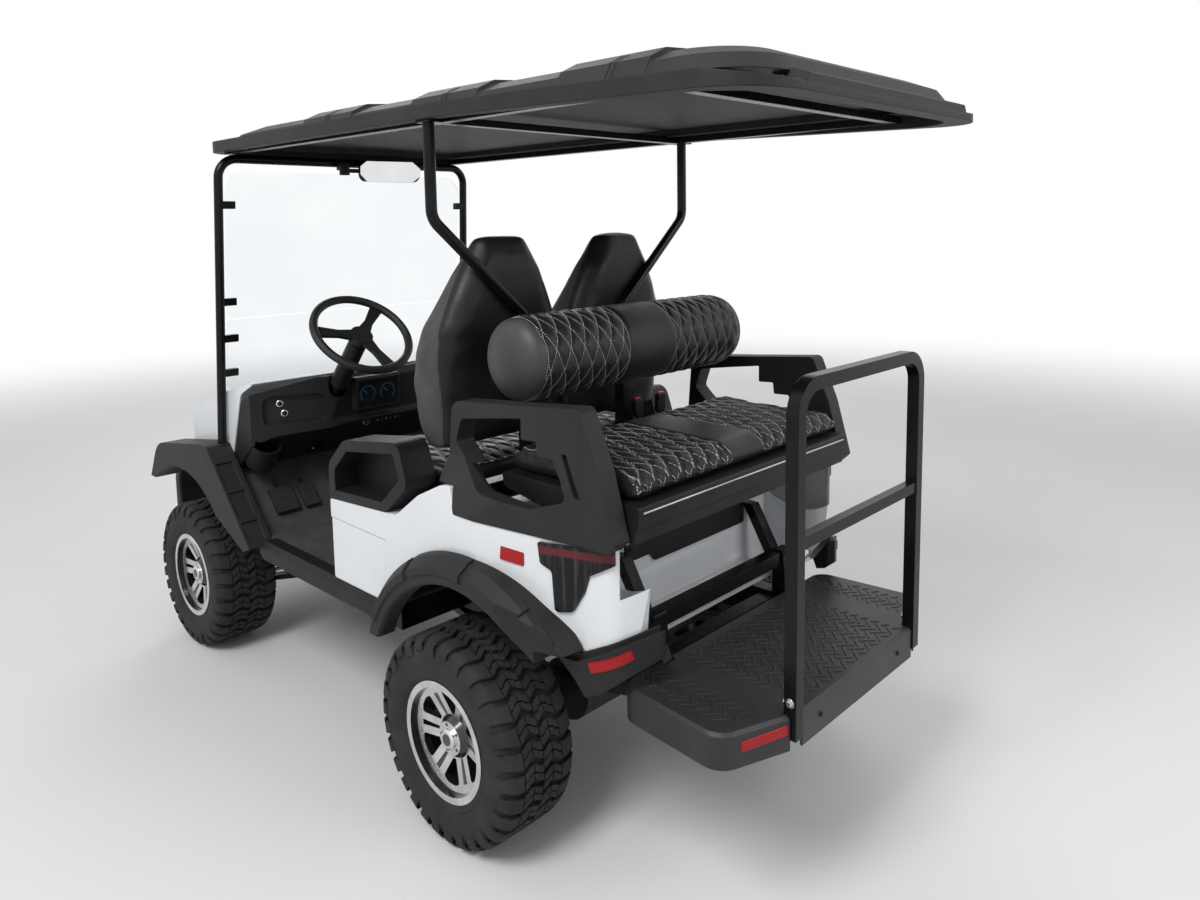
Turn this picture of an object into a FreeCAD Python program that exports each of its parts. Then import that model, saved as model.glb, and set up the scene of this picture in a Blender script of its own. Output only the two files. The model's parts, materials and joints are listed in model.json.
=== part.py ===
import math
import os

import FreeCAD
import Part

# Four-seat lifted golf cart
# Millimetres, +X forward, +Y left, +Z up, origin on the ground under the middle of the box.
# Outlines along the cart are drawn from the rear axle: "ahead" counts forward from it.

SIZES = {
    "rear_axle_x": -624, "wheelbase": 1719, "axle_height": 290,
    "rear_wheel_y": 549, "front_wheel_y": 522,
    "tyre_radius": 290, "carcass_radius": 279, "tyre_width": 240, "bead_radius": 153,
    "tyre_sides": 20, "lug_length": 45, "lip_radius": 165, "spoke_count": 6,
    "steering_spokes": 3, "strut_tube": 32, "roll_radius": 118,
    "seat_pivot_ahead": -440, "seat_pivot_height": 950, "seat_sweep": 182,
    "kingpin_y": 425, "steer_arm": 80,
    "steering_tilt": 42, "steering_y": 250,
    "steering_ahead": 980, "steering_height": 1285,
}

doc = FreeCAD.newDocument("golf_cart")
sheet = doc.addObject("Spreadsheet::Sheet", "sizes")
for row, (alias, value) in enumerate(SIZES.items(), start=1):
    sheet.set("A%d" % row, alias)
    sheet.set("B%d" % row, str(value))
    sheet.setAlias("B%d" % row, alias)
doc.recompute()

AXIS_OF_PLANE = {"XY": "z", "XZ": "y", "YZ": "x"}
TURN_OF_PLANE = {
    "XY": FreeCAD.Rotation(),
    "XZ": FreeCAD.Rotation(FreeCAD.Vector(1, 0, 0), 90),
    "YZ": FreeCAD.Rotation(FreeCAD.Vector(1, 1, 1), 120),
}
NODES = []


def size(alias):
    return float(sheet.get(alias))


def ahead(distance):
    return size("rear_axle_x") + distance


def rounded(rows):
    """Closed outline of lines and arcs from rows of u, v and optional corner radius."""
    corners = []
    count = len(rows)
    for index, row in enumerate(rows):
        here = FreeCAD.Vector(row[0], row[1], 0)
        radius = row[2] if len(row) > 2 else 0
        if not radius:
            corners.append((here, None, here))
            continue
        before = FreeCAD.Vector(rows[index - 1][0], rows[index - 1][1], 0)
        after = FreeCAD.Vector(rows[(index + 1) % count][0], rows[(index + 1) % count][1], 0)
        back = (before - here).normalize()
        on = (after - here).normalize()
        half_angle = back.getAngle(on) / 2
        reach = radius / math.tan(half_angle)
        middle_way = (back + on).normalize()
        middle = here + middle_way * (radius / math.sin(half_angle) - radius)
        corners.append((here + back * reach, middle, here + on * reach))
    edges = []
    for index, (start, middle, end) in enumerate(corners):
        if middle is not None:
            edges.append(Part.Arc(start, middle, end))
        following = corners[(index + 1) % count][0]
        if (following - end).Length > 1e-4:
            edges.append(Part.LineSegment(end, following))
    return edges


def grown(rows, distance):
    """The same outline with every side moved outwards, or inwards if distance is negative."""
    count = len(rows)
    area = sum(rows[i - 1][0] * rows[i][1] - rows[i][0] * rows[i - 1][1] for i in range(count))
    way = distance if area > 0 else -distance
    moved = []
    for index, row in enumerate(rows):
        before = rows[index - 1]
        after = rows[(index + 1) % count]
        first = math.hypot(row[0] - before[0], row[1] - before[1])
        second = math.hypot(after[0] - row[0], after[1] - row[1])
        in_x, in_y = (row[0] - before[0]) / first, (row[1] - before[1]) / first
        out_x, out_y = (after[0] - row[0]) / second, (after[1] - row[1]) / second
        turn = in_x * out_y - in_y * out_x
        scale = way / (1 + in_x * out_x + in_y * out_y)
        new = [row[0] + scale * (in_y + out_y), row[1] - scale * (in_x + out_x)]
        if len(row) > 2:
            convex = turn * area > 0
            new.append(max(row[2] + (distance if convex else -distance), 0.5))
        moved.append(tuple(new))
    return moved


def shifted(rows, plane):
    """Outlines whose first column runs along the cart are moved to the rear axle."""
    if plane == "YZ":
        return rows
    return [(ahead(row[0]),) + tuple(row[1:]) for row in rows]


def draw(sketch, rows, holes=()):
    for loop in (rows,) + tuple(holes):
        for edge in rounded(loop):
            sketch.addGeometry(edge, False)


def slab(label, plane, rows, low, high, holes=()):
    """A straight prism over an outline, from low to high across the plane."""
    sketch = doc.addObject("Sketcher::SketchObject", label + "_outline")
    sketch.Placement = FreeCAD.Placement(FreeCAD.Vector(), TURN_OF_PLANE[plane])
    draw(sketch, shifted(rows, plane), [shifted(hole, plane) for hole in holes])
    sketch.setExpression("Placement.Base." + AXIS_OF_PLANE[plane], str(low))
    prism = doc.addObject("Part::Extrusion", label)
    prism.Base = sketch
    prism.DirMode = "Custom"
    prism.Dir = {"XY": FreeCAD.Vector(0, 0, 1), "XZ": FreeCAD.Vector(0, 1, 0),
                 "YZ": FreeCAD.Vector(1, 0, 0)}[plane]
    prism.setExpression("LengthFwd", "(%s) - (%s)" % (high, low))
    prism.Solid = True
    return prism


def box(label, x_span, y_span, z_span):
    """A plain block; x counts ahead of the rear axle."""
    block = doc.addObject("Part::Box", label)
    spans = (("Length", x_span), ("Width", y_span), ("Height", z_span))
    for name, (low, high) in spans:
        block.setExpression(name, "(%s) - (%s)" % (high, low))
    block.setExpression("Placement.Base.x", "sizes.rear_axle_x + (%s)" % x_span[0])
    block.setExpression("Placement.Base.y", str(y_span[0]))
    block.setExpression("Placement.Base.z", str(z_span[0]))
    return block


def rod(label, start, end, radius):
    """A round bar between two points; x counts ahead of the rear axle."""
    bar = doc.addObject("Part::Cylinder", label)
    first = FreeCAD.Vector(ahead(start[0]), start[1], start[2])
    last = FreeCAD.Vector(ahead(end[0]), end[1], end[2])
    bar.setExpression("Radius", str(radius))
    bar.setExpression("Height", str((last - first).Length))
    bar.Placement = FreeCAD.Placement(first, FreeCAD.Rotation(FreeCAD.Vector(0, 0, 1), last - first))
    return bar


def stack(label, levels):
    """A ruled loft through closed outlines; each level holds an outline and its height."""
    sections = []
    for index, (rows, height) in enumerate(levels):
        sketch = doc.addObject("Sketcher::SketchObject", "%s_level_%d" % (label, index))
        draw(sketch, shifted(rows, "XY"))
        sketch.setExpression("Placement.Base.z", str(height))
        sections.append(sketch)
    loft = doc.addObject("Part::Loft", label)
    loft.Sections = sections
    loft.Solid = True
    loft.Ruled = True
    return loft


def band(label, rows, centre):
    """A ring round a line across the cart; rows hold y, radius and corner radius."""
    section = doc.addObject("Sketcher::SketchObject", label + "_section")
    section.Placement = FreeCAD.Placement(FreeCAD.Vector(), TURN_OF_PLANE["YZ"])
    draw(section, rows)
    section.setExpression("Placement.Base.x", "sizes.rear_axle_x + (%s)" % centre[0])
    section.setExpression("Placement.Base.z", str(centre[1]))
    ring = doc.addObject("Part::Revolution", label)
    ring.Source = section
    ring.Axis = FreeCAD.Vector(0, 1, 0)
    ring.Base = FreeCAD.Vector(ahead(centre[0]), 0, centre[1])
    ring.Angle = 360
    ring.Solid = True
    return ring


def fuse(label, pieces):
    joined = doc.addObject("Part::MultiFuse", label)
    joined.Shapes = list(pieces)
    return joined


def meet(label, pieces):
    common = doc.addObject("Part::MultiCommon", label)
    common.Shapes = list(pieces)
    return common


def cut(label, base, tool):
    rest = doc.addObject("Part::Cut", label)
    rest.Base = base
    rest.Tool = tool
    return rest


def mirror(label, source):
    """The same piece on the other side of the cart."""
    twin = doc.addObject("Part::Mirroring", label)
    twin.Source = source
    twin.Normal = FreeCAD.Vector(0, 1, 0)
    return twin


def pair(label, source):
    """A piece and its mirror image in one node, as solids that don't touch."""
    both = doc.addObject("Part::Compound", label)
    both.Links = [source, mirror(label + "_right", source)]
    return both


def node(piece, label):
    piece.Label = label
    NODES.append(piece)
    return piece


def new_body(label):
    body = doc.addObject("PartDesign::Body", label)
    body.AllowCompound = True
    return body


def body_sketch(body, name, plane, rows, offset=0, holes=()):
    sketch = body.newObject("Sketcher::SketchObject", name)
    origin_plane = [part for part in body.Origin.OriginFeatures if part.Role == plane + "_Plane"][0]
    sketch.AttachmentSupport = [(origin_plane, "")]
    sketch.MapMode = "FlatFace"
    draw(sketch, rows, holes)
    sketch.setExpression("AttachmentOffset.Base.z", str(offset))
    return sketch


def pad(body, name, sketch, length, midplane=False, taper=0, reverse=False):
    feature = body.newObject("PartDesign::Pad", name)
    feature.Profile = sketch
    feature.setExpression("Length", str(length))
    feature.SideType = "Symmetric" if midplane else "One side"
    feature.Reversed = reverse
    if taper:
        feature.TaperAngle = taper
    return feature


def pocket(body, name, sketch, length, midplane=False, reverse=False):
    feature = body.newObject("PartDesign::Pocket", name)
    feature.Profile = sketch
    feature.setExpression("Length", str(length))
    feature.SideType = "Symmetric" if midplane else "One side"
    feature.Reversed = reverse
    return feature


def revolve(body, name, sketch, axis="H_Axis"):
    feature = body.newObject("PartDesign::Revolution", name)
    feature.Profile = sketch
    feature.ReferenceAxis = (sketch, [axis])
    feature.Angle = 360
    return feature


def polar(body, name, feature, sketch, axis, count):
    """Equal copies of a feature round one of its sketch's axes."""
    ring = body.newObject("PartDesign::PolarPattern", name)
    ring.Originals = [feature]
    ring.Axis = (sketch, [axis])
    ring.Angle = 360
    ring.setExpression("Occurrences", str(count))
    return ring


def turned(outline, degrees):
    """The same outline turned about the sketch's origin."""
    cosine = math.cos(math.radians(degrees))
    sine = math.sin(math.radians(degrees))
    return tuple((row[0] * cosine - row[1] * sine, row[0] * sine + row[1] * cosine) + tuple(row[2:])
                 for row in outline)


def place(body, x, y, z, turn=0):
    body.setExpression("Placement.Base.x", str(x))
    body.setExpression("Placement.Base.y", str(y))
    body.setExpression("Placement.Base.z", str(z))
    if turn:
        body.Placement.Rotation = FreeCAD.Rotation(FreeCAD.Vector(0, 0, 1), turn)


# Wheels
# name, ahead of the middle, side, turn about Z
WHEELS = (
    ("rear_left", "sizes.rear_axle_x", "sizes.rear_wheel_y", 0),
    ("rear_right", "sizes.rear_axle_x", "-sizes.rear_wheel_y", 180),
    ("front_left", "sizes.rear_axle_x + sizes.wheelbase", "sizes.front_wheel_y", 0),
    ("front_right", "sizes.rear_axle_x + sizes.wheelbase", "-sizes.front_wheel_y", 180),
)
SIDES = int(size("tyre_sides"))
BEAD = size("bead_radius")
TREAD = size("carcass_radius")
# across the tyre, radius to the middle of a side
CASING = ((-99.5, BEAD), (-99.5, BEAD + 13), (-116, 200), (-115, 246), (-96, TREAD),
          (96, TREAD), (115, 246), (116, 200), (99.5, BEAD + 13), (99.5, BEAD))


def flat_ring(label, rows, sides):
    """A ring about the Y axis built of flat faces, from rows of y and radius to the middle of a side."""
    step = 2 * math.pi / sides
    faces = []
    for index, row in enumerate(rows):
        following = rows[(index + 1) % len(rows)]
        for side in range(sides):
            corners = []
            for (across, radius), turn in ((row, side - 0.5), (row, side + 0.5), (following, side + 0.5),
                                           (following, side - 0.5), (row, side - 0.5)):
                reach = radius / math.cos(step / 2)
                corners.append(FreeCAD.Vector(reach * math.sin(turn * step), across,
                                              reach * math.cos(turn * step)))
            faces.append(Part.Face(Part.makePolygon(corners)))
    shell = Part.makeShell(faces)
    shell.sewShape()
    solid = Part.makeSolid(shell)
    if solid.Volume < 0:
        solid.reverse()
    ring = doc.addObject("Part::Feature", label)
    ring.Shape = solid
    return ring


def tyre(label):
    """Many-sided carcass with one lug to a side in each of two staggered rows."""
    body = new_body(label)
    body.BaseFeature = flat_ring(label + "_casing", CASING, SIDES)
    half = size("tyre_width") / 2
    reach = size("tyre_radius")
    # name of the row, side, turn of the row about the axle
    for row, side, turn in (("left", -1, 0), ("right", 1, 180 / SIDES)):
        outline = ((side * (half - 26), reach), (side * half, reach - 27), (side * half, reach - 56),
                   (side * (half - 10), reach - 56), (side * 10, reach - 22), (side * 10, reach))
        lug = body_sketch(body, "%s_lug_%s" % (label, row), "YZ", outline)
        lug.AttachmentOffset = FreeCAD.Placement(FreeCAD.Vector(),
                                                 FreeCAD.Rotation(FreeCAD.Vector(1, 0, 0), turn))
        block = pad(body, "%s_lug_block_%s" % (label, row), lug, "sizes.lug_length", midplane=True)
        ring = polar(body, "%s_lugs_%s" % (label, row), block, lug, "H_Axis", "sizes.tyre_sides")
    body.Tip = ring
    return body


def rim(label):
    """Barrel with lips, and a dished face cut into split spokes."""
    body = new_body(label)
    lip = size("lip_radius")
    seat = BEAD - 1
    # across the wheel, radius
    barrel = body_sketch(body, label + "_barrel", "YZ", (
        (-107, lip), (-107, lip - 18), (-60, 140), (45, 140), (107, lip - 18),
        (107, lip), (101, lip), (101, seat), (-101, seat), (-101, lip)))
    revolve(body, label + "_ring", barrel)
    face = body_sketch(body, label + "_face", "YZ", (
        (36, 21), (36, 50), (50, 58), (62, 144), (86, 148), (82, 134), (66, 60), (82, 46), (82, 21)))
    revolve(body, label + "_face_disc", face)
    # name, turn, outline of ahead, up, corner radius: a slot splits a spoke, a window parts two
    openings = (("slot", 0, ((54, -4), (125, -8), (125, 8), (54, 4))),
                ("window", 30, ((64, -6), (122, -35, 8), (130.5, -13), (130.5, 13), (122, 35, 8), (64, 6))))
    for name, turn, outline in openings:
        sketch = body_sketch(body, label + "_" + name, "XZ", turned(outline, turn))
        opening = pocket(body, "%s_%s_cut" % (label, name), sketch, 300, midplane=True)
        ring = polar(body, "%s_%s_ring" % (label, name), opening, barrel, "H_Axis", "sizes.spoke_count")
    body.Tip = ring
    return body


for name, x, y, turn in WHEELS:
    for kind, maker in (("tyre_", tyre), ("rim_", rim)):
        wheel_part = maker(kind + name)
        place(wheel_part, x, y, "sizes.axle_height", turn)
        node(wheel_part, kind + name)

# Chassis
# name, start and end ahead, y of the inner and outer face
RAILS = (("rear", -455, 1260, 260, 310), ("front", 1200, 2060, 155, 205))
# name, start and end ahead, half length, underside, top
CROSS_MEMBERS = (("tail", -455, -405, 310, 465, 535), ("spring", -60, -10, 310, 480, 535),
                 ("seat", 330, 380, 552, 465, 545), ("waist", 1200, 1260, 552, 465, 545),
                 ("nose", 2010, 2060, 330, 455, 545))
beams = []
for name, start, end, inner, outer in RAILS:
    left_rail = box("rail_" + name, (start, end), (inner, outer), (455, 545))
    beams += [left_rail, mirror("rail_%s_right" % name, left_rail)]
for name, start, end, half, low, high in CROSS_MEMBERS:
    beams.append(box("cross_" + name, (start, end), (-half, half), (low, high)))
jack_pad = box("jack_pad", (660, 740), (262, 308), (447, 456))
beams += [jack_pad, mirror("jack_pad_right", jack_pad)]
node(fuse("chassis_frame_beams", beams), "chassis_frame")

FLOOR = ((330, 545), (1235, 545), (1432, 742), (1426, 750), (1231, 555), (330, 555))
node(slab("floor_sheet", "XZ", FLOOR, -552, 552), "floor_pan")
SILL = ((382, 490, 12), (1120, 490, 20), (1136, 530, 12), (1120, 565, 10), (382, 565, 6))
SILL_END = ((552, 486), (590, 486, 8), (604, 500, 8), (607, 545, 14), (592, 568, 8), (552, 568))
sill = meet("sill_left", [slab("sill_side", "XZ", SILL, 550, 610),
                          slab("sill_end", "YZ", SILL_END, "sizes.rear_axle_x + 300",
                               "sizes.rear_axle_x + 1200")])
node(pair("sill_pair", sill), "sills")

# Rear body: a white shell cut from side and plan outlines, open below, ahead and under the seats
WALL = 7
BODY_SIDE = ((632, 565, 8), (632, 822, 6), (330, 842, 24), (262, 850, 60), (150, 930, 80), (40, 981, 60),
             (0, 984.5, 5), (-13, 912, 3), (-552, 912, 20), (-530, 690, 10), (-430, 566, 8))
BODY_PLAN = ((632, -600), (632, 600), (-100, 600, 200), (-330, 566, 200), (-500, 505, 60), (-552, 400, 30),
             (-552, -400, 30), (-500, -505, 60), (-330, -566, 200), (-100, -600, 200))
WELL_SIDE = ((-255, 1200), (-640, 1200), (-640, 575), (-500, 575, 20), (-335, 600, 40), (-320, 720, 20),
             (-320, 812), (-285, 855), (-255, 908))
WELL_PLAN = ((-250, -400, 70), (-250, 400, 70), (-640, 425), (-640, -425))
ARCH = (-70, 335)
PIVOT = (size("seat_pivot_ahead"), size("seat_pivot_height"))
well = meet("body_well", [slab("well_side", "XZ", WELL_SIDE, -500, 500),
                          slab("well_plan", "XY", WELL_PLAN, 400, 1300)])
well_wall = meet("body_well_wall", [slab("well_side_wall", "XZ", grown(WELL_SIDE, WALL), -500, 500),
                                    slab("well_plan_wall", "XY", grown(WELL_PLAN, WALL), 400, 1300)])
body_outer = cut("body_outer", meet("body_block", [slab("body_side", "XZ", BODY_SIDE, -620, 620),
                                                   slab("body_plan", "XY", BODY_PLAN, 500, 1100)]), well)
body_inside = meet("body_inside", [slab("body_side_inside", "XZ", grown(BODY_SIDE, -WALL), -620, 620),
                                   slab("body_plan_inside", "XY", grown(BODY_PLAN, -WALL), 450, 1100)])
body_room = cut("body_room", body_inside, well_wall)
arch_cut = rod("arch_cut", (ARCH[0], 412, ARCH[1]), (ARCH[0], 700, ARCH[1]), 425)
DOOR_PANEL = ((660, 540), (660, 765), (317, 760, 14), (352, 540))
door_panel = slab("door_panel", "XZ", DOOR_PANEL, 596.5, 620)
body_cuts = [body_room, arch_cut, mirror("arch_cut_right", arch_cut), door_panel,
             mirror("door_panel_right", door_panel),
             box("seat_opening", (-14, 640), (-490, 490), (800, 1200)),
             rod("flip_room", (PIVOT[0], -490, PIVOT[1]), (PIVOT[0], 490, PIVOT[1]), "sizes.seat_sweep"),
             box("front_opening", (600, 700), (-590, 590), (500, 1200)),
             box("rail_pass", (-700, -418), (-430, 430), (400, 640)),
             box("under_opening", (-440, 700), (-590, 590), (500, 574))]
node(cut("rear_body_shell", body_outer, fuse("body_cuts", body_cuts)), "rear_body")

# Cover plate low in the middle of the well
PLATE_FACE = ((-278, 735, 8), (150, 735, 8), (170, 760, 8), (270, 760, 8), (270, 806), (-278, 806))
node(slab("cover_plate", "YZ", PLATE_FACE, "sizes.rear_axle_x - 328", "sizes.rear_axle_x - 320"),
     "access_panel")

# Rear bumper corners and tail lamps follow the body's plan
CORNER = ((-347, 652), (-347, 560), (-392, 520, 14), (-480, 553, 20), (-575, 630), (-575, 715),
          (-480, 668, 20), (-424, 642, 10))
CORNER_LOW = ((-347, 636), (-347, 560), (-392, 520, 14), (-480, 553, 20), (-575, 630), (-575, 699),
              (-480, 652, 20), (-424, 626, 10))
corner_steps = []
for name, rows, reach in (("ledge", CORNER, 9), ("face", CORNER_LOW, 24)):
    outer = slab("corner_outer_" + name, "XY", grown(BODY_PLAN, reach), 500, 800)
    step = cut("corner_%s_band" % name, outer, slab("corner_inner_" + name, "XY", BODY_PLAN, 400, 900))
    corner_steps.append(meet("corner_" + name, [step, slab("corner_side_" + name, "XZ", rows, 405, 700)]))
corner = cut("bumper_corner_left", fuse("corner_steps", corner_steps),
             rod("corner_arch", (ARCH[0], 300, ARCH[1]), (ARCH[0], 700, ARCH[1]), 425))
node(pair("bumper_corners", corner), "rear_bumper")
LAMP = ((-313, 903, 6), (-320, 850, 8), (-352, 836, 12), (-358, 733, 10), (-402, 739, 12), (-431, 791, 20),
        (-444, 835, 10), (-501, 866, 6), (-501, 903, 4))
lamp_band = cut("lamp_band", slab("lamp_band_outer", "XY", grown(BODY_PLAN, 8), 600, 1000),
                slab("lamp_band_inner", "XY", BODY_PLAN, 500, 1100))
lamp_left = meet("tail_lamp", [lamp_band, slab("tail_lamp_outline", "XZ", LAMP, 300, 700)])
node(pair("tail_lamp_pair", lamp_left), "tail_lamps")

# Rear arch covers, coned outwards, with raised pads parted by grooves
COVER_BAND = ((540, 398), (540, 482), (600, 475), (622, 470), (655, 444), (655, 404), (645, 398))
PAD_BAND = ((610, 420), (610, 480), (630, 475), (661, 450), (661, 430), (650, 420))
# start and end angle of each raised pad, counted from straight ahead
PADS = ((28, 60), (64, 94), (99, 121), (126, 142))
pads = []
pad_band = band("pad_band", PAD_BAND, ARCH)
for index, (low, high) in enumerate(PADS):
    corners = [(ARCH[0], ARCH[1])]
    for degrees in (low, high):
        angle = math.radians(degrees)
        corners.append((ARCH[0] + 700 * math.cos(angle), ARCH[1] + 700 * math.sin(angle)))
    pads.append(meet("pad_%d" % index, [pad_band, slab("pad_sector_%d" % index, "XZ", corners, 590, 670)]))
COVER_SIDE = ((470, 490), (470, 900), (-600, 900), (-600, 652), (-347, 652), (-347, 490))
COVER_PLAN = ((420, 500), (420, 604), (330, 664, 80), (-230, 664, 120), (-420, 604), (-600, 560),
              (-600, 480))
cover = meet("rear_cover", [fuse("cover_and_pads", [band("cover_band", COVER_BAND, ARCH)] + pads),
                            slab("cover_side", "XZ", COVER_SIDE, 530, 670),
                            slab("cover_plan", "XY", COVER_PLAN, 400, 900)])
cover = cut("rear_cover_seated", cover, fuse("cover_seats", [
    slab("cover_body", "XY", BODY_PLAN, 300, 1200), slab("cover_corner", "XZ", CORNER, 500, 700),
    box("cover_sill", (360, 500), (540, 607), (480, 570))]))
node(pair("rear_covers", cover), "rear_flares")

# Pods at the ends of the front seat
POD = ((640, 817, 14), (640, 935, 60), (545, 1022, 50), (250, 1062, 45), (207, 940, 40), (330, 836, 20))
pod = cut("pod", slab("pod_block", "XZ", POD, 495, 596), slab("pod_tray", "XZ", grown(POD, -34), 510, 700))
pod = cut("pod_seated", pod, slab("pod_body", "XZ", BODY_SIDE, 480, 620))
node(pair("pods", pod), "side_pods")

# Armrest loops: a bar and posts above a tub that swells out to the body's side
ARM = ((63, 986), (44, 1203, 40), (-194, 1221, 200), (-438, 1242, 22), (-497, 1105, 200), (-545, 936, 10),
       (-520, 912), (-13, 912), (0, 984.5))
ARM_OPEN = ((4, 1159, 22), (-134, 1179, 200), (-237, 1193, 4), (-237, 1140, 5), (-292, 1143, 5),
            (-296, 1106, 5), (-350, 1108, 5), (-404, 1015, 20), (-286, 976, 60), (-101, 984, 60),
            (-16, 1050, 60), (28, 1092, 14))
ARM_END = ((495, 905), (604, 905), (604, 930), (590, 985, 20), (556, 1055, 40), (551, 1300), (495, 1300))
ARM_PLAN = ((70, 495), (70, 604), (-100, 604, 200), (-330, 570, 200), (-450, 551, 60), (-600, 551),
            (-600, 495))
arm_loop = meet("arm_loop", [slab("arm_side", "XZ", ARM, 490, 610),
                             slab("arm_end", "YZ", ARM_END, "sizes.rear_axle_x - 600",
                                  "sizes.rear_axle_x + 100"),
                             slab("arm_plan", "XY", ARM_PLAN, 850, 1300)])
TUB = ((30, 1040), (-30, 975, 40), (-110, 940, 60), (-300, 932, 60), (-380, 960, 20), (-395, 1040))
POST_GROOVE = ((-380, 1128, 4), (-424, 1026, 4), (-442, 1026, 4), (-398, 1128, 4))
arm_cuts = [slab("arm_window", "XZ", ARM_OPEN, 400, 700),
            slab("arm_tub", "XZ", TUB, 480, 545),
            slab("post_groove", "XZ", POST_GROOVE, 540, 560),
            slab("arm_body", "XZ", BODY_SIDE, 480, 620),
            rod("pivot_bore", (PIVOT[0], 480, PIVOT[1]), (PIVOT[0], 515, PIVOT[1]), 8.4)]
arm = cut("arm", arm_loop, fuse("arm_cuts", arm_cuts))
node(pair("arms", arm), "armrests")

# Front cowl, hollow, open to the dash and below, with a raised middle
COWL_SIDE = ((1445, 800, 10), (1345, 1060, 60), (1190, 1130, 6), (1500, 1050, 300), (1960, 870, 160),
             (2130, 700, 40), (2130, 639, 10), (1480, 639, 20))
COWL_PLAN = ((1150, -552), (1150, 552), (1800, 552, 200), (2130, 410, 160), (2130, -410, 160),
             (1800, -552, 200))
COWL_ROOM = ((1100, 500), (1100, 1200), (1190, 1124, 6), (1500, 1044, 300), (1955, 865, 155),
             (2124, 697, 35), (2124, 500))
BONNET_PLAN = ((1502, -235, 20), (1502, 235, 20), (2120, 170, 20), (2120, -170, 20))
cowl_outer = meet("cowl_outer", [slab("cowl_side", "XZ", COWL_SIDE, -600, 600),
                                 slab("cowl_plan", "XY", COWL_PLAN, 500, 1200)])
bonnet_rows = [(row[0], row[1] + 9) + tuple(row[2:]) for row in COWL_SIDE]
bonnet = meet("bonnet", [slab("bonnet_side", "XZ", bonnet_rows, -300, 300),
                         slab("bonnet_plan", "XY", BONNET_PLAN, 700, 1250)])
cowl_inner = meet("cowl_inner", [slab("cowl_side_inside", "XZ", COWL_ROOM, -600, 600),
                                 slab("cowl_plan_inside", "XY", grown(COWL_PLAN, -6), 450, 1300)])
front_arch = rod("front_arch_cut", (1719, -700, 290), (1719, 700, 290), 440)
node(cut("front_cowl_shell", fuse("cowl_skin", [cowl_outer, bonnet]),
         fuse("cowl_cuts", [cowl_inner, front_arch])),
     "front_cowl")

# Front bumper with a slatted grille
BUMPER_PLAN = ((2046, -530, 10), (2046, 530, 10), (2110, 530, 50), (2190, 380, 120), (2190, -380, 120),
               (2110, -530, 50))
BUMPER_WALL = 8
bumper_block = stack("bumper_block", ((grown(BUMPER_PLAN, -14), 420), (BUMPER_PLAN, 450),
                                      (BUMPER_PLAN, 600), (grown(BUMPER_PLAN, -8), 639)))
bumper_rooms = [slab("bumper_room", "XY", grown(BUMPER_PLAN, -14 - BUMPER_WALL), 400, 700),
                box("bumper_back", (1900, 2080), (-508, 508), (400, 700)),
                box("grille_opening", (2100, 2300), (-270, 270), (476, 600))]
bumper = cut("bumper_hollow", bumper_block, fuse("bumper_rooms", bumper_rooms))
slats = []
for height in (497, 522, 547, 572):
    slats.append(box("slat_%d" % height, (2150, 2182), (-275, 275), (height, height + 8)))
slats.append(box("grille_post", (2150, 2178), (-12, 12), (470, 606)))
bumper_bracket = box("bumper_bracket", (2060, 2184), (285, 315), (480, 530))
slats += [bumper_bracket, mirror("bumper_bracket_right", bumper_bracket)]
node(fuse("front_bumper_pieces", [bumper] + slats), "front_bumper")

# Front arch covers with three recessed panels on their rear slope
FRONT_COVER = ((1190, 520), (1140, 540), (1460.8, 860.8, 30), (1530, 860.8, 60), (1950, 800, 120),
               (2040, 645), (1500, 645))
SLOPE = math.sqrt(0.5)
# start and end of each panel along the slope
PANELS = ((25, 110), (128, 240), (258, 370))
cover_cuts = [rod("front_cover_cut", (1719, 500, 290), (1719, 700, 290), 445)]
for index, (low, high) in enumerate(PANELS):
    start = (1140 + low * SLOPE, 540 + low * SLOPE)
    end = (1140 + high * SLOPE, 540 + high * SLOPE)
    outline = ((start[0] - 9, start[1] + 9), (end[0] - 9, end[1] + 9), (end[0] + 5, end[1] - 5),
               (start[0] + 5, start[1] - 5))
    cover_cuts.append(slab("cover_panel_%d" % index, "XZ", outline, 572, 634))
front_cover_solid = fuse("front_cover_solid", [slab("front_cover_block", "XZ", FRONT_COVER, 552, 645),
                                               box("hoop_seat", (1450, 1500), (556, 594), (838, 860.8))])
front_cover = cut("front_cover", front_cover_solid, fuse("front_cover_cuts", cover_cuts))
node(pair("front_covers", front_cover), "front_flares")

# Headlamps lie on the nose
LAMP_FACE = ((262, 712, 16), (392, 724, 30), (424, 806, 24), (300, 790, 30))
lamp_front = meet("headlamp", [
    slab("headlamp_face", "YZ", LAMP_FACE, "sizes.rear_axle_x + 1950", "sizes.rear_axle_x + 2200"),
    slab("headlamp_side", "XZ", grown(COWL_SIDE, 14), -600, 600),
    slab("headlamp_plan", "XY", grown(COWL_PLAN, 14), 500, 1200)])
lamp_seat = meet("headlamp_seat", [slab("lamp_side", "XZ", COWL_SIDE, -600, 600),
                                   slab("lamp_plan", "XY", COWL_PLAN, 500, 1200)])
lamp = cut("headlamp_seated", lamp_front, lamp_seat)
node(pair("headlamp_pair", lamp), "headlamps")

# Steering column line
TILT = math.radians(size("steering_tilt"))
HUB = (size("steering_ahead"), size("steering_y"), size("steering_height"))


def along_column(distance):
    return (HUB[0] + distance * math.sin(TILT), HUB[1], HUB[2] - distance * math.cos(TILT))


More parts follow.
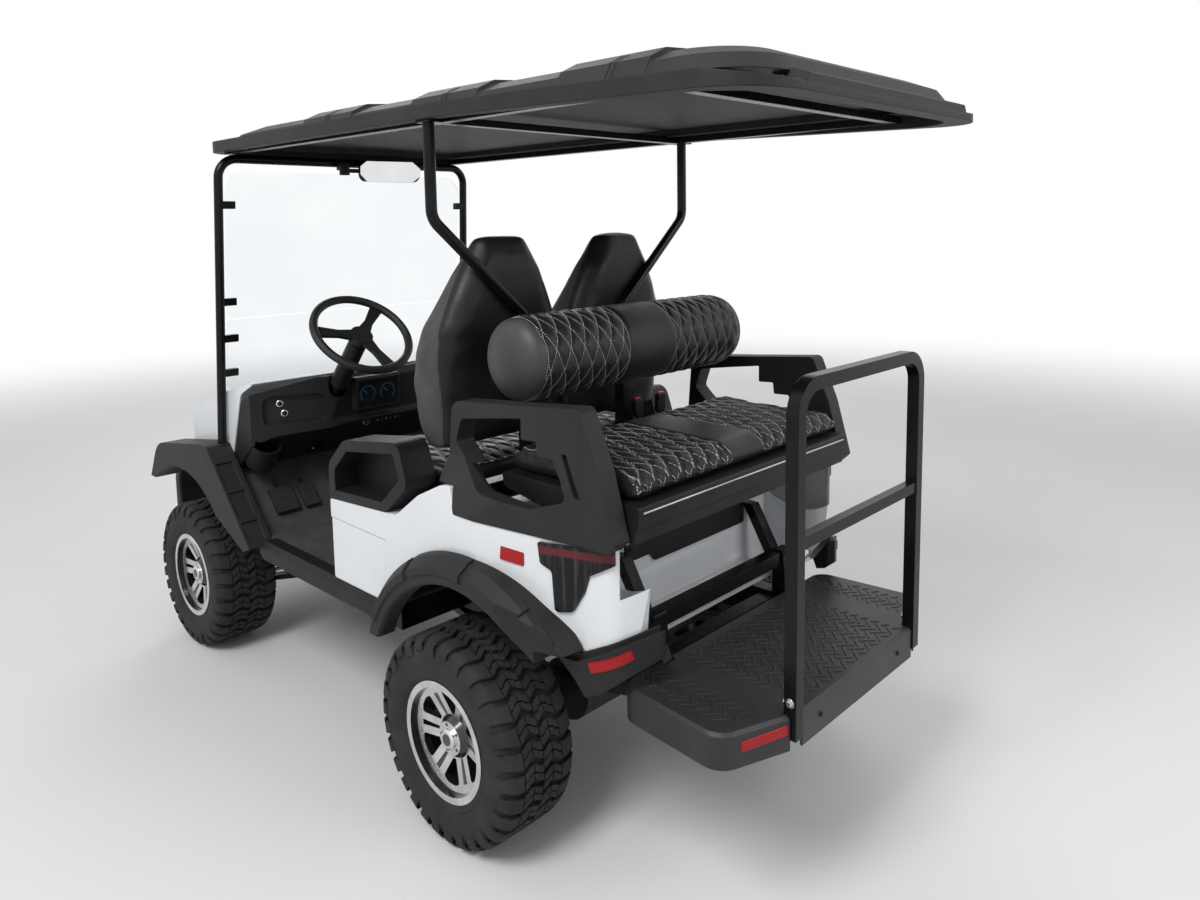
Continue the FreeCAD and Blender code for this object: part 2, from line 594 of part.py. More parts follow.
# Dash, hollow, bowed in plan, with recesses, a display hood and two cup rings
DASH = ((1378, 1017, 20), (1180, 1116, 10), (1150, 1090, 10), (1165, 945, 20), (1150, 930, 6),
        (1165, 915, 6), (1250, 900, 20), (1425, 758, 4), (1462, 775, 4))
DASH_PLAN = ((1480, -546), (1480, 546), (1285, 546), (1225, 420, 80), (1150, 250, 200), (1150, -250, 200),
             (1225, -420, 80), (1285, -546))
dash_block = meet("dash_block", [slab("dash_side", "XZ", DASH, -546, 546),
                                 slab("dash_plan", "XY", DASH_PLAN, 700, 1200)])
dash_room = meet("dash_room", [slab("dash_room_side", "XZ", grown(DASH, -6), -540, 540),
                               slab("dash_room_plan", "XY", grown(DASH_PLAN, -28), 700, 1200)])
dash_cuts = [dash_room, rod("column_hole", along_column(0), along_column(700), 40)]
# name, y from and to, underside, top
RECESSES = (("glove", 300, 505, 946, 1052), ("shelf", -505, -235, 946, 1052))
for name, low, high, under, top in RECESSES:
    outline = ((low, under, 20), (high, under, 20), (high, top, 30), (low, top, 30))
    face = slab("recess_face_" + name, "YZ", outline, "sizes.rear_axle_x + 1100",
                "sizes.rear_axle_x + 1300")
    depth = cut("recess_depth_" + name, box("recess_block_" + name, (1100, 1320), (-546, 546), (800, 1200)),
                slab("recess_back_" + name, "XY", grown(DASH_PLAN, -18), 700, 1250))
    dash_cuts.append(meet("recess_" + name, [face, depth]))
cups = []
cup_bores = []
for name, side in (("left", 1), ("right", -1)):
    cups.append(rod("cup_" + name, (1348, side * 487, 792), (1292, side * 487, 872), 56))
    cup_bores.append(rod("cup_bore_" + name, (1342, side * 487, 800), (1280, side * 487, 889), 48))
display = slab("display_hood", "XZ", ((1160, 972, 6), (1134, 966, 6), (1122, 1088, 8), (1132, 1098, 6),
                                      (1175, 1100, 6)), 5, 200)
display_face = slab("display_face", "XZ", ((1100, 976), (1100, 1084), (1128.5, 1084), (1136.5, 976)),
                    16, 189)
dash_shell = cut("dash_shell", dash_block, fuse("dash_cuts", dash_cuts))
dash = cut("dash_bored", fuse("dash_pieces", [dash_shell, display] + cups),
           fuse("dash_bores", [display_face] + cup_bores))
TOE_BOARD = ((1100, 414), (1432, 746), (1426, 754), (1500, 800), (1700, 500), (1100, 400))
above_cowl = cut("above_cowl", box("dash_region", (1000, 1700), (-620, 620), (600, 1300)),
                 slab("cowl_side_room", "XZ", COWL_ROOM, -546, 546))
cowl_region = meet("cowl_region", [above_cowl, slab("cowl_plan_region", "XY", COWL_PLAN, 500, 1300)])
node(cut("dash_seated", dash,
         fuse("dash_seats", [slab("toe_board", "XZ", TOE_BOARD, -560, 560), cowl_region])), "dash")

# Roof: an arched rim, a crown with raised panels and ribs, and a recessed ceiling
ROOF_PLAN = ((-942, -571, 163), (-942, 571, 163), (1499, 571, 120), (1499, -571, 120))
ROOF_SIDE = ((-942, 1925), (40, 1952), (1499, 1950), (1499, 1988, 8), (40, 1990), (-800, 1967, 40),
             (-942, 1945, 8))
# height, rear and front ahead, half width, corner radius
CROWN = ((1972, -891, 1451, 534, 163), (2008, -868, 1428, 512, 160), (2033, -806, 1336, 459, 140),
         (2046, -640, 1000, 300, 120))
RAISED = ((1970, -893, 1453, 536, 163), (2020, -860, 1420, 508, 160), (2045, -800, 1330, 455, 140),
          (2058, -640, 1000, 300, 120))


def crown_loft(label, rows, proud=0):
    """Stack of rounded rectangles, each moved out by the same distance."""
    levels = []
    for height, rear, front, half, radius in rows:
        outline = ((rear, -half, radius), (rear, half, radius), (front, half, radius),
                   (front, -half, radius))
        levels.append((grown(outline, proud), height))
    return stack(label, levels)


roof_pieces = [meet("roof_rim", [slab("roof_side", "XZ", ROOF_SIDE, -600, 600),
                                 slab("roof_plan", "XY", ROOF_PLAN, 1800, 2200)]),
               crown_loft("crown", CROWN)]
raised = crown_loft("crown_raised", RAISED)
# name, rear and front ahead of each raised panel
for name, rear, front in (("rear", -632, -358), ("middle", -56, 234), ("front", 550, 840)):
    span = box("raised_span_" + name, (rear, front), (-560, 560), (1960, 2060))
    roof_pieces.append(meet("raised_" + name, [raised, span]))
ribbed = crown_loft("crown_ribbed", RAISED, 3)
for index, start in enumerate((-534, -518, 74, 90, 682, 698)):
    for name, low, high in (("left", 455, 560), ("right", -560, -455)):
        span = box("rib_span_%s_%d" % (name, index), (start, start + 7), (low, high), (1960, 2040))
        roof_pieces.append(meet("rib_%s_%d" % (name, index), [ribbed, span]))
LIP = ((-941, 1930), (-941, 1962, 4), (-905, 1974, 20), (-850, 1990), (-850, 1930))
LIP_END = ((-400, 1930), (-392, 1950), (-360, 2000), (360, 2000), (392, 1950), (400, 1930))
roof_pieces.append(meet("roof_lip", [
    slab("lip_side", "XZ", LIP, -400, 400),
    slab("lip_end", "YZ", LIP_END, "sizes.rear_axle_x - 950", "sizes.rear_axle_x - 800")]))
ROOM_PLAN = ((-880, -532, 165), (-880, 532, 165), (1450, 532, 60), (1450, -532, 60))
CEILING_PLAN = ((-800, -440, 60), (-800, 440, 60), (1360, 440, 60), (1360, -440, 60))
roof_cuts = [slab("roof_room", "XY", ROOM_PLAN, 1850, 1965),
             slab("ceiling", "XY", CEILING_PLAN, 1960, 1985)]
node(cut("roof_shell", fuse("roof_solid", roof_pieces), fuse("roof_cuts", roof_cuts)), "roof")

# Roof frame: side and cross rails under the ceiling, with plates over the struts
frame_bars = []
for name, y_span in (("left", (490, 520)), ("right", (-520, -490))):
    frame_bars.append(box("roof_rail_" + name, (-700, 1416), y_span, (1945, 1965)))
for name, start in (("rear", -700), ("middle", 107), ("front", 1386)):
    frame_bars.append(box("roof_cross_" + name, (start, start + 30), (-524, 524), (1945, 1965)))
strut_plate = box("strut_plate", (92, 152), (485, 560), (1945, 1951.7))
frame_bars += [strut_plate, mirror("strut_plate_right", strut_plate)]
node(fuse("roof_frame_bars", frame_bars), "roof_frame")


def tube(label, run, width, bend, round_tube=False):
    """A tube swept along a run of x ahead, y, z with bends of one radius."""
    points = [FreeCAD.Vector(ahead(x), y, z) for x, y, z in run]
    edges = []
    start = points[0]
    for index in range(1, len(points) - 1):
        corner = points[index]
        back = (points[index - 1] - corner).normalize()
        on = (points[index + 1] - corner).normalize()
        half_angle = back.getAngle(on) / 2
        reach = bend / math.tan(half_angle)
        middle = corner + (back + on).normalize() * (bend / math.sin(half_angle) - bend)
        edges.append(Part.makeLine(start, corner + back * reach))
        edges.append(Part.Arc(corner + back * reach, middle, corner + on * reach).toShape())
        start = corner + on * reach
    edges.append(Part.makeLine(start, points[-1]))
    spine = Part.Wire(edges)
    way = (points[1] - points[0]).normalize()
    if round_tube:
        section = Part.Wire(Part.makeCircle(width / 2, points[0], way))
    else:
        aside = way.cross(FreeCAD.Vector(1, 0, 0.001)).normalize()
        over = way.cross(aside)
        corners = [points[0] + aside * (a * width / 2) + over * (b * width / 2)
                   for a, b in ((-1, -1), (1, -1), (1, 1), (-1, 1), (-1, -1))]
        section = Part.makePolygon(corners)
    piece = doc.addObject("Part::Feature", label)
    piece.Shape = spine.makePipeShell([section], True, False, 2)
    return piece


STRUT = size("strut_tube")
# Windshield panes: name, foot ahead and height, head ahead and height, half width, upper corner radius
PANES = (("low", 1485, 1058, 1446, 1330, 538, 20), ("high", 1460, 1336, 1402, 1886, 534, 84))
# Clamps: name of the pane, height
CLAMPS = (("low", 1130), ("low", 1262), ("high", 1400), ("high", 1760))
hoop_pieces = [tube("front_hoop_tube",
                    ((1474, 575, 862), (1400, 556, 1929), (1400, -556, 1929),
                     (1474, -575, 862)), STRUT, 70, True)]
panes = []
for name, foot, low, head, high, half, corner_radius in PANES:
    pane_side = ((foot + 5, low), (foot, low), (head, high), (head + 5, high))
    pane_front = ((-half, low - 1, 20), (half, low - 1, 20), (half, high + 1, corner_radius),
                  (-half, high + 1, corner_radius))
    sheet_band = slab("pane_side_" + name, "XZ", pane_side, -half, half)
    face = slab("pane_front_" + name, "YZ", pane_front, "sizes.rear_axle_x + 1300",
                "sizes.rear_axle_x + 1600")
    panes.append(meet("pane_" + name, [sheet_band, face]))
    slope = (head - foot) / (high - low)
    for pane, height in CLAMPS:
        if pane == name:
            below = foot + slope * (height - low - 14)
            above = foot + slope * (height - low + 14)
            clamp_side = ((below - 26, height - 14), (below, height - 14), (above, height + 14),
                          (above - 26, height + 14))
            clamp = slab("clamp_%d" % height, "XZ", clamp_side, 506, 556)
            hoop_pieces += [clamp, mirror("clamp_%d_right" % height, clamp)]
both_panes = doc.addObject("Part::Compound", "panes")
both_panes.Links = panes
node(both_panes, "windshield")
node(fuse("front_hoop_pieces", hoop_pieces), "front_hoop")
mid = tube("mid_strut_tube", ((122, 540, 1945), (122, 540, 1690), (122, 215, 1400), (122, 215, 1329)),
           STRUT, 60, True)
node(pair("mid_strut_pair", mid), "mid_struts")

# Mirror on a ball mount behind the hoop's top bar
MIRROR_SIDE = ((1346, 1850), (1340, 1950), (1356, 1950), (1362, 1850))
MIRROR_FACE = ((-285, 1857, 40), (5, 1857, 30), (5, 1938, 30), (-285, 1943, 40))
housing = meet("mirror_housing", [
    slab("mirror_side", "XZ", MIRROR_SIDE, -300, 20),
    slab("mirror_face", "YZ", MIRROR_FACE, "sizes.rear_axle_x + 1300", "sizes.rear_axle_x + 1400")])
mirror_mount = [housing, box("mirror_neck", (1346, 1358), (0, 60), (1890, 1906)),
                rod("mirror_ball", (1352, 72, 1880), (1352, 72, 1916), 20),
                box("mirror_clamp", (1352, 1384), (56, 88), (1900, 1929))]
node(fuse("mirror_pieces", mirror_mount), "mirror")

# Front seat
SEAT_BASE = ((595, 555), (595, 880, 20), (20, 880), (20, 850), (560, 850, 20), (560, 555))
node(slab("front_seat_box", "XZ", SEAT_BASE, -489, 489), "front_seat_base")
FRONT_CUSHION = ((660, 905, 30), (655, 985, 40), (180, 960, 30), (190, 880.3), (620, 880.3, 20))
node(slab("front_cushion", "XZ", FRONT_CUSHION, -490, 490), "front_seat_cushion")
BACK_SIDE = ((185, 1010, 30), (300, 1020, 40), (345, 1150, 60), (340, 1280, 60), (215, 1640, 30),
             (140, 1640, 20))
BACK_FACE = ((15, 980), (15, 1380, 30), (150, 1600, 30), (170, 1652, 30), (330, 1652, 30), (350, 1600, 30),
             (490, 1380, 60), (490, 980))
seat_back = meet("front_seat_back", [slab("seat_back_side", "XZ", BACK_SIDE, 10, 495),
                                     slab("seat_back_face", "YZ", BACK_FACE, "sizes.rear_axle_x + 100",
                                          "sizes.rear_axle_x + 420")])
node(pair("front_seat_back_pair", seat_back), "front_seat_backs")

# Seat frame behind the front seat, with the plate that carries the roll
frame_pieces = [box("seat_frame_bar", (85, 135), (-480, 480), (880, 930)),
                box("roll_plate", (15.3, 27), (-400, 400), (1250, 1376))]
for name, side in (("left", 1), ("right", -1)):
    inner, outer = sorted((side * 190, side * 240))
    frame_pieces.append(box("seat_frame_post_" + name, (95, 135), (inner, outer), (900, 1329)))
    frame_pieces.append(box("roll_bracket_" + name, (20, 100), (inner + 8, outer - 8), (1280, 1322)))
node(fuse("seat_frame_pieces", frame_pieces), "seat_frame")

# Rear seat
roll = cut("rear_roll_flat", rod("rear_roll", (-90, -480, 1313), (-90, 480, 1313), "sizes.roll_radius"),
           box("roll_back", (15, 40), (-500, 500), (1150, 1450)))
node(roll, "rear_backrest")
REAR_PAD = ((-565, 1015.3, 12), (-560, 1075, 40), (-80, 1085, 40), (-75, 1015.3, 12))
node(slab("rear_pad", "XZ", REAR_PAD, -485, 485), "rear_cushion")
TRAY = ((-558, 925, 8), (-565, 1015, 6), (-75, 1015, 6), (-85, 975, 10), (-400, 925, 40))
TRAY_STEP = ((-552, 960), (-566, 960), (-566, 922), (-552, 922))
tray_board = cut("rear_tray_board", slab("rear_tray_side", "XZ", TRAY, -484, 484),
                 slab("rear_tray_step", "XZ", TRAY_STEP, -500, 500))
tray = fuse("rear_tray",
            [tray_board, rod("pivot_pin", (PIVOT[0], -512, PIVOT[1]), (PIVOT[0], 512, PIVOT[1]), 8)])
node(tray, "rear_seat_tray")

# Foot platform, a ribbed moulding open below
PLATFORM = ((-480, 470, 55), (-800, 500, 60), (-868, 318, 30), (-877, 285, 10), (-877, -285, 10),
            (-868, -318, 30), (-800, -500, 60), (-480, -470, 55))
platform_block = stack("platform_block", ((PLATFORM, 473), (PLATFORM, 549), (grown(PLATFORM, -8), 557)))
platform_cuts = [slab("platform_room", "XY", grown(PLATFORM, -6), 400, 547)]
for name, span, low, under in (("post_slot", (-884, -846), 283, 400),
                               ("arm_notch", (-506, -455), 281.5, 504.5)):
    slot = box(name, span, (low, 602 - low), (under, 600))
    platform_cuts += [slot, mirror(name + "_right", slot)]
ribs = []
for y in (-160, 0, 160):
    ribs.append(box("rib_along_%d" % y, (-850, -490), (y - 2, y + 2), (500, 548)))
for x in (-760, -660, -560):
    end_rib = box("rib_end_%d" % -x, (x, x + 4), (335, 480), (500, 548))
    ribs += [box("rib_across_%d" % -x, (x, x + 4), (-270, 270), (500, 548)), end_rib,
             mirror("rib_end_%d_right" % -x, end_rib)]
platform_shell = cut("platform_shell", platform_block, fuse("platform_cuts", platform_cuts))
platform_ribs = meet("platform_ribs", [fuse("ribs", ribs), slab("rib_limit", "XY", PLATFORM, 480, 556)])
node(fuse("platform_pieces", [platform_shell, platform_ribs]), "foot_platform")

# Platform frame: two arms, the hinge bar with its plates and two bearers
bearers = []
ARM_ROWS = ((-320.3, 795), (-356, 795), (-500, 546), (-464, 546))
HINGE_PLATE = ((-434, 676, 8), (-472, 676, 8), (-477, 600, 8), (-477, 545), (-434, 545))
for name, side in (("left", 1), ("right", -1)):
    middle = 300 * side
    bearers.append(box("bearer_" + name, (-848.7, -455), (middle - 18, middle + 18), (505, 547)))
    bearers.append(slab("platform_arm_" + name, "XZ", ARM_ROWS, middle - 18, middle + 18))
    bearers.append(slab("hinge_plate_" + name, "XZ", HINGE_PLATE, middle - 24, middle + 24))
bearers.append(box("hinge_bar", (-466, -426), (-290, 290), (630, 670)))
node(fuse("platform_frame_pieces", bearers), "platform_frame")

# Grab bar
grab = tube("grab_loop", ((-865, 301, 497), (-865, 301, 1311), (-865, -301, 1311), (-865, -301, 497)),
            32, 70)
node(fuse("grab_pieces", [grab, box("grab_rung", (-878, -852), (-290, 290), (938, 966))]), "grab_bar")

# Steering
column = fuse("column_pieces", [rod("column_shaft", along_column(38.2), along_column(690), 17),
                                rod("column_cover", along_column(45), along_column(270), 34)])
node(column, "steering_column")
wheel = new_body("steering_wheel")
RIM_SECTION = ((163, -6), (171, -14), (183, -14), (191, -6), (191, 6), (183, 14), (171, 14), (163, 6))
rim_ring = body_sketch(wheel, "steering_rim", "XZ", RIM_SECTION)
revolve(wheel, "steering_ring", rim_ring, "V_Axis")
hub_sketch = body_sketch(wheel, "steering_hub", "XZ", ((0, -38), (38, -38), (46, -24), (42, -4), (0, -2)))
revolve(wheel, "steering_hub_ring", hub_sketch, "V_Axis")
SPOKE = ((30, -24), (85, -16), (171, -24), (171, 24), (85, 16), (30, 24))
spoke_sketch = body_sketch(wheel, "steering_spoke", "XY", turned(SPOKE, -45), offset=-18)
spoke_pad = pad(wheel, "steering_spoke_bar", spoke_sketch, 12)
wheel.Tip = polar(wheel, "steering_spokes", spoke_pad, rim_ring, "V_Axis", "sizes.steering_spokes")
place(wheel, "sizes.rear_axle_x + sizes.steering_ahead", "sizes.steering_y", "sizes.steering_height")
wheel.Placement.Rotation = FreeCAD.Rotation(FreeCAD.Vector(0, 1, 0), -size("steering_tilt"))
node(wheel, "steering_wheel")

# Pedals with their stems, standing on the toe board
pedals = []
PEDAL = ((1262, 600, 3), (1254, 608, 3), (1330, 684, 3), (1338, 676, 3))
STEM = ((1300, 642), (1372, 682), (1366, 690), (1292, 650))
BELOW_FLOOR = ((1231, 555), (1426, 750), (1600, 750), (1600, 555))
for name, y, width in (("go", 300, 60), ("stop", 385, 90)):
    middle = y + width / 2
    foot = slab("pedal_pad_" + name, "XZ", PEDAL, y, y + width)
    stem = slab("pedal_stem_" + name, "XZ", STEM, middle - 8, middle + 8)
    pedals.append(cut("pedal_" + name, fuse("pedal_pieces_" + name, [foot, stem]),
                      slab("pedal_floor_" + name, "XZ", BELOW_FLOOR, 200, 600)))
pedal_pair = doc.addObject("Part::Compound", "pedal_pair")
pedal_pair.Links = pedals
node(pedal_pair, "pedals")

# Front suspension: arms with eyes on the kingpin line, towers and dampers
AXLE = size("wheelbase")
PIN = size("kingpin_y")
WISHBONE = ((AXLE - 140, 205), (AXLE - 140, 235), (AXLE - 25, PIN, 12), (AXLE - 14, PIN + 20, 10),
            (AXLE + 14, PIN + 20, 10), (AXLE + 25, PIN, 12), (AXLE + 140, 235), (AXLE + 140, 205))
WISHBONE_HOLE = ((AXLE - 90, 228, 10), (AXLE - 15, 370, 8), (AXLE + 15, 370, 8), (AXLE + 90, 228, 10))
suspension = []
for name, low, high in (("lower", 195, 215), ("upper", 365, 385)):
    wishbone = slab("arm_" + name, "XY", WISHBONE, low, high, holes=(WISHBONE_HOLE,))
    suspension.append(cut("eyed_arm_" + name, wishbone,
                          rod("eye_" + name, (AXLE, PIN, low - 5), (AXLE, PIN, high + 5), 9.4)))
suspension += [box("tower", (AXLE - 45, AXLE + 45), (155, 205.5), (180, 455)),
               box("damper_hook", (AXLE - 18, AXLE + 18), (200, 262), (418, 450)),
               rod("damper", (AXLE, 345, 212), (AXLE, 250, 430), 20),
               rod("damper_spring", (AXLE, 332, 242), (AXLE, 268, 389), 30)]
node(pair("suspension_pair", fuse("suspension_left", suspension)), "front_suspension")

LEVER = size("steer_arm")


def knuckle(name, side):
    """Upright with its kingpins, stub axle and steering lever."""
    pin = side * PIN
    tip = side * (size("front_wheel_y") + 75)
    return fuse("knuckle_pieces_" + name, [
        box("upright_" + name, (AXLE - 20, AXLE + 20), (pin - 20, pin + 20), (221, 359)),
        rod("kingpin_" + name, (AXLE, pin, 189), (AXLE, pin, 391), 9),
        rod("stub_" + name, (AXLE, pin, 290), (AXLE, tip, 290), 20),
        box("lever_" + name, (AXLE - LEVER - 12, AXLE - 10), (pin - 12, pin + 12), (254, 268)),
        rod("lever_pin_" + name, (AXLE - LEVER, pin, 230), (AXLE - LEVER, pin, 256), 6)])


node(knuckle("left", 1), "knuckle_left")
node(knuckle("right", -1), "knuckle_right")

tie_pieces = [rod("tie_bar", (AXLE - LEVER, -PIN, 239), (AXLE - LEVER, PIN, 239), 8)]
tie_holes = []
for name, side in (("left", 1), ("right", -1)):
    spot = (AXLE - LEVER, side * PIN)
    tie_pieces.append(rod("tie_end_" + name, spot + (230,), spot + (248,), 14))
    tie_holes.append(rod("tie_hole_" + name, spot + (220,), spot + (260,), 6.4))
node(cut("tie_rod_bored", fuse("tie_pieces", tie_pieces), fuse("tie_holes", tie_holes)), "tie_rod")

# Rear axle with its motor, on leaf springs under the rails
axle_pieces = [rod("axle_tube", (0, -480, 290), (0, 480, 290), 35),
               rod("axle_stub", (0, -624, 290), (0, 624, 290), 20),
               rod("final_drive", (0, -70, 290), (0, 70, 290), 105),
               rod("motor", (-60, 65, 300), (-60, 250, 300), 92)]
node(fuse("rear_axle_pieces", axle_pieces), "rear_axle")
leaf = slab("leaf", "XZ",
            ((-440, 455), (-440, 432), (0, 325, 700), (440, 432), (440, 455), (0, 345, 700)), 262, 308)
node(pair("leaf_pair", leaf), "rear_springs")
node(box("battery_block", (80, 540), (-230, 230), (555, 820)), "battery_pack")

doc.recompute()
faults = [thing.Label for thing in doc.Objects if "Invalid" in thing.State or "Error" in thing.State]
if faults:
    raise SystemExit("features with errors: " + ", ".join(faults))
os.makedirs("parts", exist_ok=True)
for piece in NODES:
    if piece.Shape.isNull() or not piece.Shape.isValid():
        raise SystemExit("bad shape: " + piece.Label)
    piece.Shape.exportStep("parts/%s.step" % piece.Label)
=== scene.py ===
"""Looks of the four-seat golf cart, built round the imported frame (metres, +X forward, +Z up)."""
import json
import math

import bmesh
import bpy
import numpy as np
from mathutils import Matrix, Vector
from mathutils.bvhtree import BVHTree


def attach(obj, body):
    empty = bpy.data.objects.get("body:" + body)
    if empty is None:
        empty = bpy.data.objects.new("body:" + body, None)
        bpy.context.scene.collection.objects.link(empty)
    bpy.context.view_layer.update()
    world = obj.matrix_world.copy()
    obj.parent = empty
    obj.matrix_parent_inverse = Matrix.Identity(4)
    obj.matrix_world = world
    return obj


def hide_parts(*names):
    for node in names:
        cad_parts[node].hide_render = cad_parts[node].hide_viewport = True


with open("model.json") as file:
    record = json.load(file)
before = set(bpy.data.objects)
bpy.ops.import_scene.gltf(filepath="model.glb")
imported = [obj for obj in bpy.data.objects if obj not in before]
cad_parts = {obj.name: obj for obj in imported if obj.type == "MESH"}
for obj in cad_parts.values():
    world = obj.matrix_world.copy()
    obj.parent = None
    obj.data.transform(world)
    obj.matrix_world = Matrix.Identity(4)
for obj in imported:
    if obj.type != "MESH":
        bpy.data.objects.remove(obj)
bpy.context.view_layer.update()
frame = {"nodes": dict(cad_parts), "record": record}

REAR_AXLE = -0.624
WHEELBASE = 1.719
AXLE_HEIGHT = 0.29
UP = Vector((0, 0, 1))


def ahead(distance):
    """X in the frame of a place measured forward from the rear axle."""
    return REAR_AXLE + distance


# Camera, solved from the photograph. Sensor and image width in mm and pixels, angles in radians
IMAGE_WIDTH = 1200
FOCAL_PIXELS = 889.8
SENSOR = 36.0
CAMERA_PLACE = (-2.5065, 1.9756, 1.6682)
YAW, PITCH, ROLL = -0.8099, -0.112, -0.0153
SHIFT = (-0.0035, -0.1046)


def make_camera():
    data = bpy.data.cameras.new("camera")
    data.sensor_width = SENSOR
    data.lens = SENSOR * FOCAL_PIXELS / IMAGE_WIDTH
    data.shift_x, data.shift_y = SHIFT
    data.clip_end = 100
    forward = Vector((math.cos(PITCH) * math.cos(YAW), math.cos(PITCH) * math.sin(YAW), math.sin(PITCH)))
    right = Vector((math.sin(YAW), -math.cos(YAW), 0))
    up = right.cross(forward)
    across = right * math.cos(ROLL) + up * math.sin(ROLL)
    upward = up * math.cos(ROLL) - right * math.sin(ROLL)
    turn = Matrix((across, upward, -forward)).transposed()
    camera = bpy.data.objects.new("camera", data)
    camera.matrix_world = Matrix.Translation(CAMERA_PLACE) @ turn.to_4x4()
    bpy.context.scene.collection.objects.link(camera)
    bpy.context.scene.camera = camera


# Light and floor
FLOOR_SIZE = 60
FLOOR_COLOUR = (0.72, 0.72, 0.71)
FLOOR_GRAIN = 90
BACKDROP = (1, 1, 1, 1)
FILL_COLOUR = (0.93, 0.96, 1, 1)
FILL_STRENGTH = 0.55
# distances from the middle between which the floor turns white
FAR_FLOOR = (4.5, 11.0)
# name, place, aim, size, power
LAMPS = (("key", (-1.5, 4.2, 5.2), (0, 0, 0.8), 2.2, 260),
         ("rear", (-5.0, -1.5, 3.6), (-0.6, 0, 0.9), 3.0, 90),
         ("front", (4.5, -3.0, 4.0), (0.3, 0, 0.9), 3.0, 90))


def set_inputs(node, inputs):
    """Each input of a node takes a value, or the socket that feeds it."""
    for name, value in inputs.items():
        if isinstance(value, bpy.types.NodeSocket):
            node.id_data.links.new(value, node.inputs[name])
        else:
            node.inputs[name].default_value = value


def add(tree, kind, inputs, **settings):
    """New shader node with its settings and inputs."""
    made = tree.nodes.new(kind)
    for name, value in settings.items():
        setattr(made, name, value)
    set_inputs(made, inputs)
    return made


def ramp(tree, factor, stops):
    """Colour along a ramp with two stops, each a place and a colour."""
    made = add(tree, "ShaderNodeValToRGB", {"Fac": factor})
    for element, (place, colour) in zip(made.color_ramp.elements, stops):
        element.position, element.color = place, tuple(colour) + (1,)
    return made.outputs["Color"]


def seen_directly(tree):
    """1 for the camera's rays and those that metal and glass pass on, 0 for the light on the cart."""
    path = add(tree, "ShaderNodeLightPath", {})
    sight = path.outputs["Is Camera Ray"]
    for kind in ("Is Glossy Ray", "Is Transmission Ray"):
        sight = add(tree, "ShaderNodeMath", {0: sight, 1: path.outputs[kind]}, operation="MAXIMUM").outputs[0]
    return sight


def make_floor():
    """Grained floor that turns into the white background far off, for what sees it directly."""
    bpy.ops.mesh.primitive_plane_add(size=FLOOR_SIZE, location=(0, 0, 0))
    floor = bpy.context.object
    floor.name = "floor"
    ground = bpy.data.materials.new("floor")
    ground.use_nodes = True
    tree = ground.node_tree
    shader = tree.nodes["Principled BSDF"]
    grain = add(tree, "ShaderNodeTexNoise", {"Scale": FLOOR_GRAIN})
    shade = ramp(tree, grain.outputs["Fac"], ((0, [c * 0.94 for c in FLOOR_COLOUR]), (1, FLOOR_COLOUR)))
    set_inputs(shader, {"Roughness": 0.9, "Base Color": shade})
    place = add(tree, "ShaderNodeTexCoord", {})
    reach = add(tree, "ShaderNodeVectorMath", {0: place.outputs["Object"]}, operation="LENGTH")
    fade = add(tree, "ShaderNodeMapRange", {
        "From Min": FAR_FLOOR[0], "From Max": FAR_FLOOR[1], "Value": reach.outputs["Value"]},
        interpolation_type="SMOOTHSTEP")
    share = add(tree, "ShaderNodeMath", {0: fade.outputs["Result"], 1: seen_directly(tree)},
                operation="MULTIPLY")
    white = add(tree, "ShaderNodeEmission", {"Color": BACKDROP})
    mix = add(tree, "ShaderNodeMixShader", {0: share.outputs[0], 1: shader.outputs[0], 2: white.outputs[0]})
    set_inputs(tree.nodes["Material Output"], {"Surface": mix.outputs[0]})
    floor.data.materials.append(ground)


def make_world(scene):
    """Soft fill on the cart, and a white background for what sees it directly."""
    world = bpy.data.worlds.new("studio")
    scene.world = world
    world.use_nodes = True
    tree = world.node_tree
    tree.nodes.clear()
    fill = add(tree, "ShaderNodeBackground", {"Color": FILL_COLOUR, "Strength": FILL_STRENGTH})
    back = add(tree, "ShaderNodeBackground", {"Color": BACKDROP})
    mix = add(tree, "ShaderNodeMixShader", {0: seen_directly(tree), 1: fill.outputs[0], 2: back.outputs[0]})
    add(tree, "ShaderNodeOutputWorld", {"Surface": mix.outputs[0]})


def make_stage():
    scene = bpy.context.scene
    scene.view_settings.view_transform = "Standard"
    make_floor()
    make_world(scene)
    for name, place, aim, size, power in LAMPS:
        light = bpy.data.lights.new(name, "AREA")
        light.size = size
        light.energy = power
        lamp = bpy.data.objects.new(name, light)
        lamp.location = place
        lamp.rotation_euler = (Vector(aim) - Vector(place)).to_track_quat("-Z", "Y").to_euler()
        scene.collection.objects.link(lamp)


# Materials
COAT_ROUGH = 0.12
NOISE_ROUGH = 0.55
BEVEL_SAMPLES = 6


def new_material(name, rough, metal=0.0, coat=0.0, sheen=0.0, transmission=0.0, gloss=0.5):
    made = bpy.data.materials.new(name)
    made.use_nodes = True
    shader = made.node_tree.nodes["Principled BSDF"]
    set_inputs(shader, {
        "Roughness": rough, "Metallic": metal, "Specular IOR Level": gloss, "Coat Weight": coat,
        "Coat Roughness": COAT_ROUGH, "Sheen Weight": sheen, "Transmission Weight": transmission})
    return made, shader


def position(made):
    """Object coordinates, which stay with a piece as it moves."""
    return add(made.node_tree, "ShaderNodeTexCoord", {}).outputs["Object"]


def noise(made, scale, detail):
    return add(made.node_tree, "ShaderNodeTexNoise", {
        "Scale": scale, "Detail": detail, "Roughness": NOISE_ROUGH, "Vector": position(made)}).outputs["Fac"]


def cells(made, scale):
    tree = made.node_tree
    return add(tree, "ShaderNodeTexVoronoi", {"Scale": scale, "Vector": position(made)}).outputs["Distance"]


